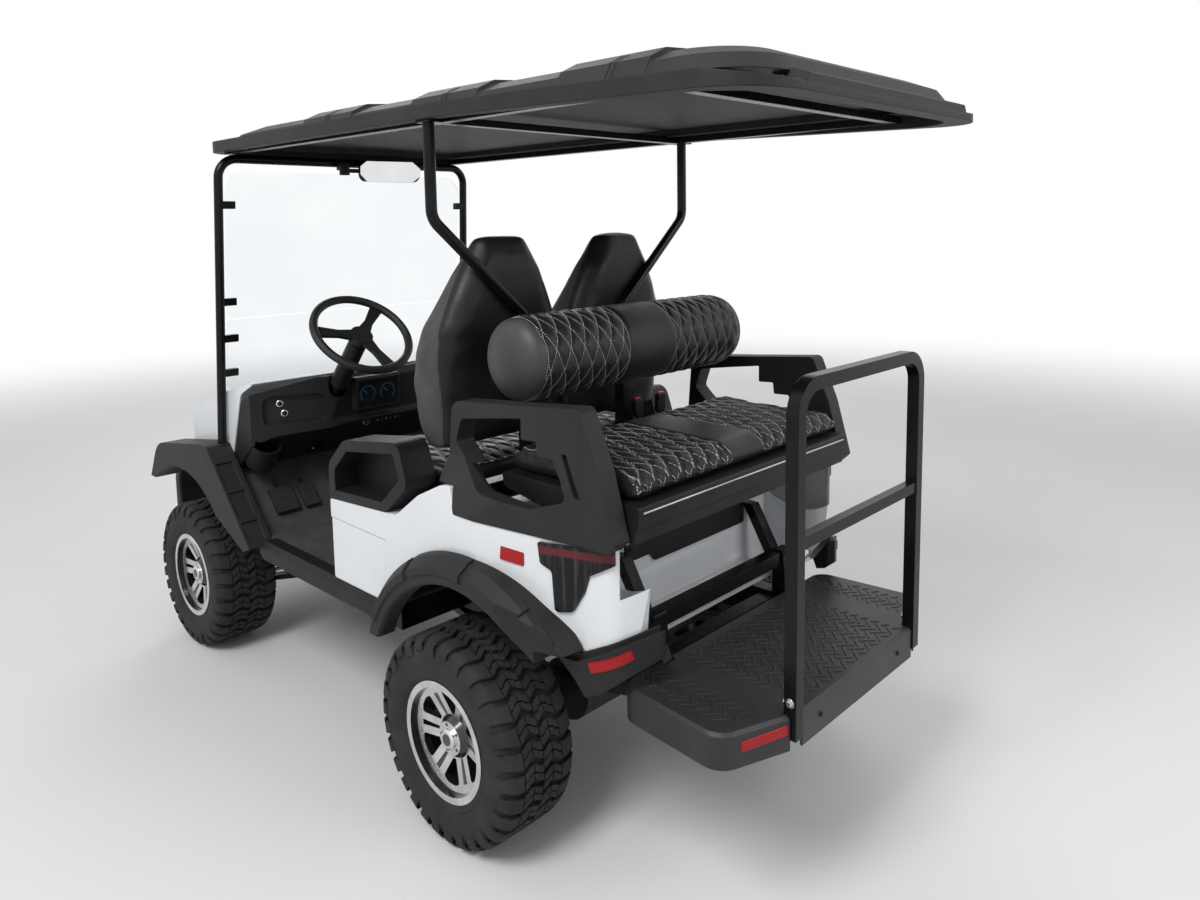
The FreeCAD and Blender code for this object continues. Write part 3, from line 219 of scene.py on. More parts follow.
def tint(made, shader, factor, low, high, where=(0.3, 0.7)):
    """Base colour between two shades along a pattern."""
    shade = ramp(made.node_tree, factor, ((where[0], low), (where[1], high)))
    set_inputs(shader, {"Base Color": shade})


def vary_rough(made, shader, factor, low, high):
    spread = add(made.node_tree, "ShaderNodeMapRange", {"To Min": low, "To Max": high, "Value": factor})
    set_inputs(shader, {"Roughness": spread.outputs["Result"]})


def bump(made, shader, height, strength, depth=0.001, edge=0.0):
    """Fine relief; edge is the radius that a moulded or painted edge is softened by."""
    tree = made.node_tree
    relief = add(tree, "ShaderNodeBump", {"Strength": strength, "Distance": depth, "Height": height})
    if edge:
        soft = add(tree, "ShaderNodeBevel", {"Radius": edge}, samples=BEVEL_SAMPLES)
        set_inputs(relief, {"Normal": soft.outputs["Normal"]})
    set_inputs(shader, {"Normal": relief.outputs["Normal"]})


def grained(name, low, high, rough, scale, relief,
            coat=0.0, metal=0.0, patches=6, gloss=0.5, spread=0.05, edge=0.0):
    """Moulded, painted or rubber surface: cloudy shade, varied gloss and a fine grain."""
    made, shader = new_material(name, rough, metal, coat, gloss=gloss)
    tint(made, shader, noise(made, patches, 5), low, high)
    vary_rough(made, shader, noise(made, patches * 2.3, 3), rough - spread, rough + spread)
    bump(made, shader, noise(made, scale, 2), relief, edge=edge)
    return made


def leather(name, low, high, rough):
    """Vinyl with a pebbled grain and soft creases."""
    made, shader = new_material(name, rough, sheen=0.02, gloss=0.26)
    tint(made, shader, noise(made, 9, 6), low, high)
    vary_rough(made, shader, noise(made, 30, 3), rough - 0.06, rough + 0.08)
    pebble = add(made.node_tree, "ShaderNodeMath", {0: cells(made, 420), 1: 0.6, 2: noise(made, 60, 4)},
                 operation="MULTIPLY_ADD")
    bump(made, shader, pebble.outputs[0], 0.35, 0.0007)
    return made


# low and high colour, roughness, scale and strength of the grain, then what departs from plain
GRAINED = {
    "white_paint": ((0.675, 0.688, 0.705), (0.705, 0.716, 0.73), 0.22, 700, 0.01,
                    dict(coat=0.5, spread=0.02, edge=0.004)),
    "grey_plastic": ((0.0135, 0.0133, 0.0133), (0.021, 0.0207, 0.0205), 0.52, 900, 0.5,
                     dict(gloss=0.22, spread=0.03, edge=0.005)),
    "deck_plastic": ((0.015, 0.0155, 0.017), (0.025, 0.0255, 0.028), 0.44, 900, 0.4,
                     dict(gloss=0.38, edge=0.003)),
    "black_plastic": ((0.006, 0.006, 0.007), (0.013, 0.013, 0.014), 0.45, 800, 0.35,
                      dict(gloss=0.22, edge=0.004)),
    "black_metal": ((0.003, 0.003, 0.0033), (0.006, 0.006, 0.0065), 0.27, 260, 0.10,
                    dict(coat=0.03, gloss=0.17, edge=0.0025)),
    "mat": ((0.042, 0.040, 0.038), (0.068, 0.065, 0.062), 0.85, 1400, 0.9, dict(patches=14, gloss=0.2)),
    "soft_black": ((0.006, 0.006, 0.006), (0.012, 0.012, 0.012), 0.5, 1200, 0.5, dict(gloss=0.3)),
    "rubber_pad": ((0.012, 0.012, 0.012), (0.022, 0.022, 0.022), 0.7, 900, 0.5, dict(gloss=0.3)),
    "tyre_rubber": ((0.013, 0.0125, 0.012), (0.027, 0.026, 0.0245), 0.78, 500, 0.4,
                    dict(patches=12, gloss=0.3)),
    "cast_metal": ((0.02, 0.02, 0.022), (0.045, 0.045, 0.047), 0.55, 420, 0.5, dict(metal=0.5)),
    "steel_rod": ((0.35, 0.35, 0.36), (0.5, 0.5, 0.51), 0.35, 700, 0.1, dict(metal=0.9)),
    "spring_steel": ((0.02, 0.02, 0.02), (0.045, 0.043, 0.041), 0.5, 500, 0.4, dict(metal=0.6)),
    "battery_case": ((0.02, 0.02, 0.022), (0.035, 0.035, 0.037), 0.6, 600, 0.3, {}),
    "bright_metal": ((0.55, 0.55, 0.56), (0.75, 0.75, 0.76), 0.22, 900, 0.05, dict(metal=1.0)),
    "thread": ((0.36, 0.36, 0.35), (0.50, 0.50, 0.485), 0.7, 1500, 0.4, {}),
    "dark_thread": ((0.07, 0.07, 0.068), (0.12, 0.12, 0.115), 0.7, 1500, 0.4, {}),
    "red_button": ((0.42, 0.012, 0.010), (0.56, 0.020, 0.016), 0.35, 900, 0.15, {}),
    "pale_mark": ((0.10, 0.16, 0.20), (0.16, 0.24, 0.30), 0.5, 900, 0.05, {}),
    "display": ((0.004, 0.009, 0.014), (0.010, 0.020, 0.030), 0.10, 900, 0.01, dict(coat=0.8, patches=22)),
    "wheel_black": ((0.006, 0.006, 0.007), (0.012, 0.012, 0.013), 0.18, 700, 0.04, dict(coat=0.5)),
}


def build_materials():
    made = {name: grained(name, *values, **extra) for name, (*values, extra) in GRAINED.items()}
    made["vinyl"] = leather("vinyl", (0.006, 0.006, 0.007), (0.013, 0.013, 0.015), 0.40)
    # the same black vinyl painted lighter, as if in sunlight: painted light
    made["painted_sunlit_vinyl"] = leather("painted_sunlit_vinyl", (0.034, 0.033, 0.032), (0.060, 0.058, 0.056), 0.45)
    made.update(alloy=machined_alloy(), clear=clear_sheet(), lens=lamp_lens(), smoked_lens=tail_lens(),
                red_lens=reflector_lens(), mirror_glass=mirror_glass(), webbing=webbing())
    return made


def machined_alloy():
    """Machined alloy with varied gloss and a fine grain."""
    made, shader = new_material("alloy", 0.2, metal=1.0, coat=0.3)
    tint(made, shader, noise(made, 18, 4), (0.56, 0.56, 0.57), (0.78, 0.78, 0.79))
    vary_rough(made, shader, noise(made, 300, 2), 0.16, 0.34)
    bump(made, shader, noise(made, 1500, 1), 0.06, 0.0004)
    return made


def clear_sheet():
    """Windshield sheet with a trace of tint."""
    made, shader = new_material("clear", 0.02, transmission=1.0)
    shader.inputs["IOR"].default_value = 1.2
    tint(made, shader, noise(made, 3, 2), (0.90, 0.93, 0.95), (0.95, 0.97, 0.98))
    bump(made, shader, noise(made, 8, 2), 0.02, 0.002)
    return made


LENS_COLOUR = (0.15, 0.16, 0.17)


def lamp_lens():
    """Headlamp cover with its prism cells."""
    made, shader = new_material("lens", 0.08, coat=1.0, transmission=0.1)
    tint(made, shader, noise(made, 30, 3), [c * 0.7 for c in LENS_COLOUR], LENS_COLOUR)
    bump(made, shader, cells(made, 160), 0.15, 0.0008)
    return made


# tail lamp: stretch of the streaks, shades of the smoke, height of the red bar, steps of red in it
STREAKS = (70, 70, 5)
SMOKE = ((0.5, (0.003, 0.003, 0.0035)), (0.72, (0.035, 0.035, 0.038)))
RED_BAR = (0.858, 0.904)
RED_STEPS = ((0.30, 0.0), (0.45, 0.9), (0.72, 0.9), (0.85, 0.0))
RED_SHADE = (0.11, 0.014, 0.018, 1)


def tail_lens():
    """Smoked lens with a red bar across its top and upright streaks of the reflector behind it."""
    made, shader = new_material("smoked_lens", 0.12, coat=0.18, gloss=0.15)
    tree = made.node_tree
    squeeze = add(tree, "ShaderNodeMapping", {"Scale": STREAKS, "Vector": position(made)})
    streaks = add(tree, "ShaderNodeTexNoise", {"Scale": 1.0, "Vector": squeeze.outputs["Vector"]})
    smoke = ramp(tree, streaks.outputs["Fac"], SMOKE)
    split = add(tree, "ShaderNodeSeparateXYZ", {"Vector": position(made)})
    spread = add(tree, "ShaderNodeMapRange", {
        "From Min": RED_BAR[0], "From Max": RED_BAR[1], "Value": split.outputs["Z"]})
    band = add(tree, "ShaderNodeValToRGB", {"Fac": spread.outputs["Result"]})
    band.color_ramp.interpolation = "EASE"
    for where, value in RED_STEPS:
        band.color_ramp.elements.new(where).color = (value, value, value, 1)
    for end in (0, -1):
        band.color_ramp.elements[end].color = (0, 0, 0, 1)
    mix = add(tree, "ShaderNodeMix", {0: band.outputs["Color"], 6: smoke, 7: RED_SHADE}, data_type="RGBA")
    set_inputs(shader, {"Base Color": mix.outputs[2]})
    return made


def reflector_lens():
    """Red reflector with its prism cells."""
    made, shader = new_material("red_lens", 0.2, coat=0.12, gloss=0.25)
    tint(made, shader, cells(made, 520), (0.46, 0.006, 0.010), (0.27, 0.003, 0.006), (0.0, 0.6))
    bump(made, shader, cells(made, 520), 0.5, 0.0008)
    return made


def mirror_glass():
    """Silvered glass."""
    made, shader = new_material("mirror_glass", 0.04, metal=1.0)
    tint(made, shader, noise(made, 5, 2), (0.72, 0.73, 0.74), (0.80, 0.81, 0.82))
    return made


def webbing():
    """Woven belt with its cross ribs."""
    made, shader = new_material("webbing", 0.75, sheen=0.2)
    ribs = add(made.node_tree, "ShaderNodeTexWave",
               {"Scale": 260, "Distortion": 0.4, "Vector": position(made)})
    tint(made, shader, ribs.outputs["Fac"], (0.012, 0.012, 0.012), (0.03, 0.03, 0.03))
    bump(made, shader, ribs.outputs["Fac"], 0.6, 0.0006)
    return made


# Mesh helpers
def bands(rows, wide, around=False):
    """Faces between closed rows of points; around joins the last row to the first."""
    faces = []
    for low in range(0, (rows if around else rows - 1) * wide, wide):
        high = (low + wide) % (rows * wide)
        for k in range(wide):
            nxt = (k + 1) % wide
            faces.append((low + k, low + nxt, high + nxt, high + k))
    return faces


def ends_of(rows, wide):
    """The faces that close the first and the last of such rows."""
    return [tuple(range(wide))[::-1], tuple(range((rows - 1) * wide, rows * wide))]


def mesh_object(name, points, faces, material, body, smooth=True):
    data = bpy.data.meshes.new(name)
    data.from_pydata([tuple(p) for p in points], [], [tuple(f) for f in faces])
    data.validate()
    data.update()
    made = bpy.data.objects.new(name, data)
    bpy.context.scene.collection.objects.link(made)
    data.materials.append(MATERIALS[material])
    if smooth:
        data.shade_smooth()
    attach(made, body)
    return made


def modified(obj, kind, **settings):
    """Applies a modifier with these settings for good."""
    modifier = obj.modifiers.new(kind.lower(), kind)
    for name, value in settings.items():
        setattr(modifier, name, value)
    bpy.ops.object.select_all(action="DESELECT")
    bpy.context.view_layer.objects.active = obj
    obj.select_set(True)
    bpy.ops.object.modifier_apply(modifier=modifier.name)


def points_of(mesh, what="co"):
    """The places of the vertices, or their normals with what="normal"."""
    found = np.zeros(len(mesh.vertices) * 3, np.float64)
    mesh.vertices.foreach_get(what, found)
    return found.reshape(-1, 3)


def set_points(mesh, points):
    mesh.vertices.foreach_set("co", np.asarray(points, np.float32).ravel())
    mesh.update()


def smooth_by_angle(obj, degrees):
    obj.data.shade_smooth()
    obj.data.set_sharp_from_angle(angle=math.radians(degrees))


# Padded pieces
SHRINK = 0.008
CLOTH_FRAMES = 20
CLOTH = {"quality": 4, "mass": 0.3, "tension_stiffness": 18, "compression_stiffness": 18,
         "shear_stiffness": 8, "bending_stiffness": 0.6, "use_pressure": True}


def padded_block(outline, half):
    """Closed block over an outline in X and Z, half on both sides, less the room that it swells into."""
    count = len(outline)
    ring = np.array(outline, float)
    centre = ring.mean(axis=0)
    ring = centre + (ring - centre) * (1 - SHRINK / np.abs(ring - centre).max(axis=0))
    points = [(ahead(x), y, z) for y in (SHRINK - half, half - SHRINK) for x, z in ring]
    return points, bands(2, count) + ends_of(2, count)


def puff(obj, voxel, cap, calm, pressure=4.0, floor=None):
    """Swells a closed block as stuffed fabric does, no further than cap, then calms its wrinkles."""
    modified(obj, "REMESH", mode="VOXEL", voxel_size=voxel)
    modified(obj, "SMOOTH", iterations=6, factor=0.5)
    start = points_of(obj.data)
    cloth = obj.modifiers.new("cloth", "CLOTH")
    for name, value in CLOTH.items():
        setattr(cloth.settings, name, value)
    cloth.settings.uniform_pressure_force = pressure
    cloth.settings.effector_weights.gravity = 0
    cloth.point_cache.frame_start = 1
    cloth.point_cache.frame_end = CLOTH_FRAMES
    scene = bpy.context.scene
    for number in range(1, CLOTH_FRAMES + 1):
        scene.frame_set(number)
    swollen = points_of(obj.evaluated_get(bpy.context.evaluated_depsgraph_get()).data)
    obj.modifiers.remove(cloth)
    scene.frame_set(1)
    move = swollen - start
    reach = np.linalg.norm(move, axis=1, keepdims=True)
    move *= np.minimum(1.0, cap / np.maximum(reach, 1e-9))
    start = start + move
    if floor is not None:
        start[:, 2] = np.maximum(start[:, 2], floor)
    set_points(obj.data, start)
    modified(obj, "SMOOTH", iterations=calm, factor=0.5)


class Profile:
    """A line of points in X and Z that the quilting follows; lengths count along it."""

    def __init__(self, points):
        self.points = np.array([(ahead(x), z) for x, z in points])
        self.steps = np.diff(self.points, axis=0)
        self.lengths = np.linalg.norm(self.steps, axis=1)
        self.starts = np.concatenate([[0], np.cumsum(self.lengths)])

    def ends(self, margin):
        """Lengths at which the quilting starts and ends."""
        return margin, self.starts[-1] - margin

    def along(self, spots):
        """Length along the line of the point nearest to each spot, and how far off it is."""
        best = np.full(len(spots), 1e9)
        found = np.zeros(len(spots))
        for start, step, length, before in zip(self.points, self.steps, self.lengths, self.starts):
            part = np.clip(((spots - start) @ step) / length ** 2, 0, 1)
            off = np.linalg.norm(spots - start - part[:, None] * step, axis=1)
            closer = off < best
            best[closer] = off[closer]
            found[closer] = before + part[closer] * length
        return found, best

    def at(self, lengths):
        """Places on the line at these lengths."""
        return np.stack([np.interp(lengths, self.starts, axis) for axis in self.points.T], axis=1)


# Diamond quilting: width and length of a diamond, depth and width of the sewn channel, how much deeper
# the seams round a zone are, and where the channels end
DIAMOND = (0.052, 0.118)
CHANNEL = (0.0052, 0.0085)
SEAM_DEEPER = 1.1
ZONE_FADE = 0.004
END_FADE = 0.01
# distance off the profile, and the stretch before it, in which the quilting fades
PROFILE_REACH = (0.05, 0.02)
# distance between stitches, half length, half width and lift of one, and reach that gives its slope
STITCH = 0.0075
STITCH_REACH = STITCH * 0.40
STITCH_HALF = 0.00085
STITCH_LIFT = 0.0013
SLOPE_REACH = 0.001
# along, over and up from the stitch's middle
STITCH_POINTS = ((-1, 0, -0.3), (-0.5, -1, 0.5), (-0.5, 1, 0.5), (0.5, -1, 0.5), (0.5, 1, 0.5),
                 (1, 0, -0.3), (-0.4, 0, 1.2), (0.4, 0, 1.2))
STITCH_FACES = ((0, 1, 6), (0, 6, 2), (1, 3, 7, 6), (6, 7, 4, 2), (3, 5, 7), (7, 5, 4))


def line_distance(y, s):
    """Distance to the nearest of the two crossing families of sewn lines."""
    slant = 1 / math.hypot(1 / DIAMOND[0], 1 / DIAMOND[1])
    return np.minimum(*(np.abs((y / DIAMOND[0] + way * s / DIAMOND[1] + 0.5) % 1 - 0.5) * slant
                        for way in (1, -1)))


def quilt(obj, profile, zones, ends):
    """Presses the sewn diamonds into the zones of Y that are quilted."""
    spots = points_of(obj.data)
    s, off = profile.along(spots[:, [0, 2]])
    y = spots[:, 1]
    depth = CHANNEL[0] * np.exp(-(line_distance(y, s) / CHANNEL[1]) ** 2)
    inside = np.zeros(len(spots))
    seam = np.full(len(spots), 1.0)
    for low, high in zones:
        inside = np.maximum(inside, np.clip(np.minimum(y - low, high - y) / ZONE_FADE, 0, 1))
        seam = np.minimum(seam, np.minimum(np.abs(y - low), np.abs(y - high)))
    depth = np.maximum(depth * inside, CHANNEL[0] * SEAM_DEEPER * np.exp(-(seam / CHANNEL[1]) ** 2))
    along = np.clip(np.minimum(s - ends[0], ends[1] - s) / END_FADE, 0, 1)
    near = np.clip((PROFILE_REACH[0] - off) / PROFILE_REACH[1], 0, 1)
    spots -= points_of(obj.data, "normal") * (depth * (along * near))[:, None]
    set_points(obj.data, spots)


def stitch_places(zones, ends):
    """Length along the profile, Y and slope of every stitch."""
    places = []
    for low, high in zones:
        for way in (1, -1):
            reach = (way * ends[0], way * ends[1])
            first = math.floor((low / DIAMOND[0]) + min(reach) / DIAMOND[1]) - 1
            last = math.ceil((high / DIAMOND[0]) + max(reach) / DIAMOND[1]) + 1
            slope = way * DIAMOND[0] / DIAMOND[1]
            s = np.arange(ends[0], ends[1], STITCH / math.hypot(1, slope))
            for number in range(first, last + 1):
                y = number * DIAMOND[0] - slope * s
                places += [(s[i], y[i], -slope) for i in np.flatnonzero((y > low) & (y < high))]
        for y in (low, high):
            places += [(s, y, 0.0) for s in np.arange(ends[0], ends[1], STITCH)]
    return places


def stitches(name, obj, profile, zones, ends, body, material):
    """Thread along the sewn lines, as short raised stitches on the surface."""
    tree = BVHTree.FromObject(obj, bpy.context.evaluated_depsgraph_get())
    points, faces = [], []
    for s, y, slope in stitch_places(zones, ends):
        here = profile.at([s - SLOPE_REACH, s + SLOPE_REACH])
        spot = here.mean(axis=0)
        way = (here[1] - here[0]) / (2 * SLOPE_REACH)
        tangent = Vector((way[0], slope, way[1])).normalized()
        place, normal, _, _ = tree.find_nearest(Vector((spot[0], y, spot[1])))
        if place is None:
            continue
        aside = tangent.cross(normal).normalized()
        tangent = normal.cross(aside).normalized()
        base = len(points)
        points += [place + tangent * (along * STITCH_REACH) + aside * (over * STITCH_HALF)
                   + normal * (up * STITCH_LIFT) for along, over, up in STITCH_POINTS]
        faces += [tuple(base + i for i in face) for face in STITCH_FACES]
    mesh_object(name, points, faces, material, body, smooth=False)


def sew(name, cover, profile, margin, zones, body, thread="thread"):
    ends = profile.ends(margin)
    quilt(cover, profile, zones, ends)
    stitches(name + "_thread", cover, profile, zones, ends, body, thread)


def quilted_cushion(name, outline, half, body, voxel, floor):
    """Padded cushion over an outline of its solid."""
    points, faces = padded_block(outline, half)
    pad = mesh_object(name + "_cover", points, faces, "vinyl", body)
    puff(pad, voxel, cap=0.016, calm=5, floor=floor)
    modified(pad, "SUBSURF", levels=1, render_levels=1)
    return pad


# Rear seat cushion
REAR_CUSHION = ((-0.556, 1.018), (-0.562, 1.05), (-0.545, 1.076), (-0.10, 1.084), (-0.08, 1.07),
                (-0.078, 1.018))
REAR_LINE = ((-0.567, 1.02), (-0.572, 1.05), (-0.555, 1.082), (-0.52, 1.092), (-0.30, 1.098), (-0.11, 1.095),
             (-0.075, 1.08))
REAR_ZONES = ((-0.468, -0.085), (0.085, 0.468))


def rear_cushion():
    pad = quilted_cushion("rear_cushion", REAR_CUSHION, 0.484, "rear_seat", 0.008, 1.0165)
    sew("rear_cushion", pad, Profile(REAR_LINE), 0.012, REAR_ZONES, "rear_seat")
    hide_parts("rear_cushion")


# Rear backrest roll: centre ahead and up, half length with its rounded ends, and the quilted zones
ROLL_CENTRE = (-0.09, 1.313)
ROLL_RADIUS = 0.118
ROLL_HALF = 0.482
ROLL_END = 0.075
ROLL_AROUND = 200
ROLL_ALONG = 250
ROLL_END_ROWS = 14
ROLL_ZONES = ((-0.425, -0.105), (0.105, 0.425))
# the roll's ends beyond this Y get the vinyl painted lighter, a painted highlight of sunlight on black vinyl
ROLL_SUNLIT_FROM = 0.427


def on_roll(angle, radius=ROLL_RADIUS):
    """Place ahead and up on a circle round the roll's centre."""
    return ROLL_CENTRE[0] + radius * math.cos(angle), ROLL_CENTRE[1] + radius * math.sin(angle)


def rear_roll():
    straight = ROLL_HALF - ROLL_END
    stations = np.concatenate([
        -np.cos(np.linspace(0, math.pi / 2, ROLL_END_ROWS)[:-1]) * ROLL_END - straight,
        np.linspace(-straight, straight, ROLL_ALONG),
        np.cos(np.linspace(math.pi / 2, 0, ROLL_END_ROWS)[1:]) * ROLL_END + straight])
    points = []
    for y in stations:
        past = max(0.0, abs(y) - straight) / ROLL_END
        radius = ROLL_RADIUS * max(0.0001, 1 - past ** 2.6) ** 0.5
        for number in range(ROLL_AROUND):
            x, z = on_roll(2 * math.pi * number / ROLL_AROUND, radius)
            points.append((ahead(x), y, z))
    rows = len(stations)
    # a ring runs the other way round than bands takes it, so the faces are turned over
    faces = [(a, d, c, b) for a, b, c, d in bands(rows, ROLL_AROUND)]
    faces += [end[::-1] for end in ends_of(rows, ROLL_AROUND)]
    roll = mesh_object("rear_roll_cover", points, faces, "vinyl", "cart")
    circle = Profile([on_roll(math.pi * 2 * i / 60) for i in range(-6, 55)])
    sew("rear_roll", roll, circle, 0.0, ROLL_ZONES, "cart")
    # second slot: the black vinyl painted lighter on the ends, as painted sunlight
    roll.data.materials.append(MATERIALS["painted_sunlit_vinyl"])
    for face in roll.data.polygons:
        if abs(face.center.y) > ROLL_SUNLIT_FROM:
            face.material_index = 1
    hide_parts("rear_backrest")


# Front seat
FRONT_CUSHION = ((0.655, 0.905), (0.662, 0.945), (0.64, 0.978), (0.20, 0.958), (0.182, 0.93), (0.19, 0.883),
                 (0.60, 0.883))
FRONT_LINE = ((0.672, 0.915), (0.672, 0.955), (0.645, 0.988), (0.40, 0.985), (0.20, 0.972))
FRONT_ZONES = ((-0.44, -0.06), (0.06, 0.44))


def front_cushion():
    pad = quilted_cushion("front_cushion", FRONT_CUSHION, 0.488, "cart", 0.011, 0.8815)
    sew("front_cushion", pad, Profile(FRONT_LINE), 0.02, FRONT_ZONES, "cart", "dark_thread")
    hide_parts("front_seat_cushion")


# Seat backs: height, rear and front ahead, and half width of their sections, low to high
BACK_SECTIONS = (
    (1.015, 0.190, 0.300, 0.232), (1.08, 0.182, 0.325, 0.240), (1.20, 0.172, 0.345, 0.241),
    (1.30, 0.160, 0.335, 0.240), (1.38, 0.152, 0.315, 0.230), (1.46, 0.146, 0.285, 0.196),
    (1.54, 0.142, 0.262, 0.156), (1.60, 0.142, 0.245, 0.118), (1.645, 0.146, 0.225, 0.094))
BACK_MIDDLE = 0.2525
# width of the strip on the sides that is painted lighter as sunlit vinyl (a painted highlight), and where it
# starts ahead
BACK_SUNLIT_STRIP = 0.022
BACK_SUNLIT_FROM = 0.20


def back_mesh(middle):
    """Eight-sided sections joined from low to high."""
    points = []
    for height, rear, front, half in BACK_SECTIONS:
        bevel = min(0.035, half * 0.3)
        outline = ((rear, -half + bevel), (rear + 0.03, -half), (front - 0.03, -half),
                   (front, -half + bevel * 1.4), (front, half - bevel * 1.4), (front - 0.03, half),
                   (rear + 0.03, half), (rear, half - bevel))
        points += [(ahead(x), middle + y, height) for x, y in outline]
    rows = len(BACK_SECTIONS)
    return points, bands(rows, 8) + ends_of(rows, 8)


def front_backs():
    heights, _, _, halves = zip(*BACK_SECTIONS)
    for side, name in ((1, "left"), (-1, "right")):
        middle = side * BACK_MIDDLE
        points, faces = back_mesh(middle)
        back = mesh_object("front_back_cover_" + name, points, faces, "vinyl", "cart")
        puff(back, voxel=0.010, cap=0.009, calm=14, pressure=2.5)
        modified(back, "SUBSURF", levels=1, render_levels=1)
        # the side strips get the black vinyl painted lighter: painted sunlight, not a second colour of vinyl
        back.data.materials.append(MATERIALS["painted_sunlit_vinyl"])
        for face in back.data.polygons:
            half = np.interp(face.center.z, heights, halves)
            if abs(face.center.y - middle) > half - BACK_SUNLIT_STRIP and ahead(BACK_SUNLIT_FROM) < face.center.x:
                face.material_index = 1
        if side == 1:
            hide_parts("front_seat_backs")


# Tyres
TYRE_ROWS = 120
PITCHES = 30
TYRE_REACH = 0.290
TREAD_FLOOR = 0.276
# how far a block's walls go on below the tread's floor, and how far below its top they turn in
BLOCK_SUNK = 0.004
BLOCK_EDGE = 0.0016
# half width of a sipe, and turn of a block's wall and edge, as parts of one pitch
SIPE = 0.02
WALL_TURN = 0.012
EDGE_TURN = 0.035
# start and end of a shoulder lug, as parts of one pitch
LUG_SPAN = (0.16, 0.76)
# stations of each block: distance across from the middle, start and end as parts of one pitch
SHOULDER_BLOCK = ((0.0660, -0.08, 0.66), (0.0850, -0.02, 0.70), (0.0980, 0.06, 0.76), (0.1060, 0.10, 0.80),
                  (0.1125, 0.12, 0.80))
MIDDLE_BLOCKS = (
    ((0.0340, 0.20, 0.92), (0.0480, 0.10, 0.84), (0.0510, 0.02, 0.74), (0.0620, -0.08, 0.66)),
    ((0.0020, -0.04, 0.68), (0.0160, 0.04, 0.74), (0.0190, 0.12, 0.84), (0.0300, 0.20, 0.92)),
)
PITCH_ANGLE = 2 * math.pi / PITCHES
# distance across, radius of the tread there
CROWN = ((0.0, TYRE_REACH), (0.085, 0.2895), (0.098, 0.2870), (0.106, 0.2830), (0.1125, 0.2760))
# across, radius
SIDEWALL = ((0.0995, 0.153), (0.1045, 0.166), (0.112, 0.178), (0.1135, 0.181), (0.112, 0.184),
            (0.1165, 0.205), (0.1175, 0.225), (0.1160, 0.240), (0.1130, 0.252), (0.107, 0.265),
            (0.096, 0.274), (0.080, TREAD_FLOOR))
# across, radius of the lugs that step down the sidewall, long and short in turn
LUGS = (((0.1100, 0.2790), (0.1190, 0.2640), (0.1195, 0.2400), (0.1150, 0.2340)),
        ((0.1100, 0.2790), (0.1185, 0.2640), (0.1185, 0.2540), (0.1130, 0.2490)))


def ring_point(angle, across, radius):
    return (radius * math.sin(angle), across, radius * math.cos(angle))


def tread_block(stations, turn, side, points, faces):
    """Adds a block of walls and a top between its stations, closed at both ends."""
    base = len(points)
    foot = TREAD_FLOOR - BLOCK_SUNK
    for across, low, high in stations:
        top = float(np.interp(across, *zip(*CROWN)))
        edge = top - BLOCK_EDGE
        for t, radius in ((low, foot), (low + WALL_TURN, edge), (low + EDGE_TURN, top),
                          (high - EDGE_TURN, top), (high - WALL_TURN, edge), (high, foot)):
            points.append(ring_point((turn + t) * PITCH_ANGLE, side * across, radius))
    for row in range(len(stations) - 1):
        near, far = base + 6 * row, base + 6 * (row + 1)
        faces.extend((near + k, near + k + 1, far + k + 1, far + k) for k in range(5))
    last = base + 6 * (len(stations) - 1)
    faces.extend((tuple(range(base, base + 6)), tuple(range(last, last + 6))))


def lug(section, turn, side, points, faces):
    """Adds a lug that steps down the sidewall below a tread block."""
    base = len(points)
    for t in LUG_SPAN:
        points.extend(ring_point((turn + t) * PITCH_ANGLE, side * a, r) for a, r in section)
    faces.extend((base + k, base + k + 1, base + k + 5, base + k + 4) for k in range(3))
    faces.extend((tuple(range(base, base + 4)), tuple(range(base + 4, base + 8))))


def halved(stations):
    """The two halves of a block on either side of its sipe."""
    return ([(a, low, (low + high) / 2 - SIPE) for a, low, high in stations],
            [(a, (low + high) / 2 + SIPE, high) for a, low, high in stations])


def tyre_mesh():
    """Carcass, open at its bead, with tread blocks and shoulder lugs on both sides."""
    profile = [(-a, r) for a, r in SIDEWALL] + [(0.0, TREAD_FLOOR)] + [(a, r) for a, r in reversed(SIDEWALL)]
    points = [ring_point(2 * math.pi * number / TYRE_ROWS, a, r)
              for number in range(TYRE_ROWS) for a, r in profile]
    faces = bands(TYRE_ROWS, len(profile), around=True)
    for number in range(PITCHES):
        for side, shift in ((1, 0.0), (-1, 0.5)):
            turn = number + shift
            tread_block(SHOULDER_BLOCK, turn, side, points, faces)
            for stations in MIDDLE_BLOCKS:
                for half in halved(stations):
                    tread_block(half, turn, side, points, faces)
            lug(LUGS[number % 2], turn, side, points, faces)
    return points, faces


# name, ahead of the rear axle, Y of the tyre's middle
WHEELS = (("rear_left", 0, 0.549), ("rear_right", 0, -0.549),
          ("front_left", WHEELBASE, 0.522), ("front_right", WHEELBASE, -0.522))


def tyres():
    points, faces = tyre_mesh()
    for name, where, y in WHEELS:
        placed = [(ahead(where) + p[0], y + p[1], AXLE_HEIGHT + p[2]) for p in points]
        tread = mesh_object("tread_" + name, placed, faces, "tyre_rubber", "wheel_" + name)
        clean = bmesh.new()
        clean.from_mesh(tread.data)
        bmesh.ops.recalc_face_normals(clean, faces=clean.faces)
        clean.to_mesh(tread.data)
        clean.free()
        smooth_by_angle(tread, 32)
        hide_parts("tyre_" + name)


# machined faces of a rim: least outward part of the normal and distance out, on face and lip
FLAT, FACE_FROM = 0.80, 0.05
LIP_FLAT, LIP_FROM = 0.4, 0.098


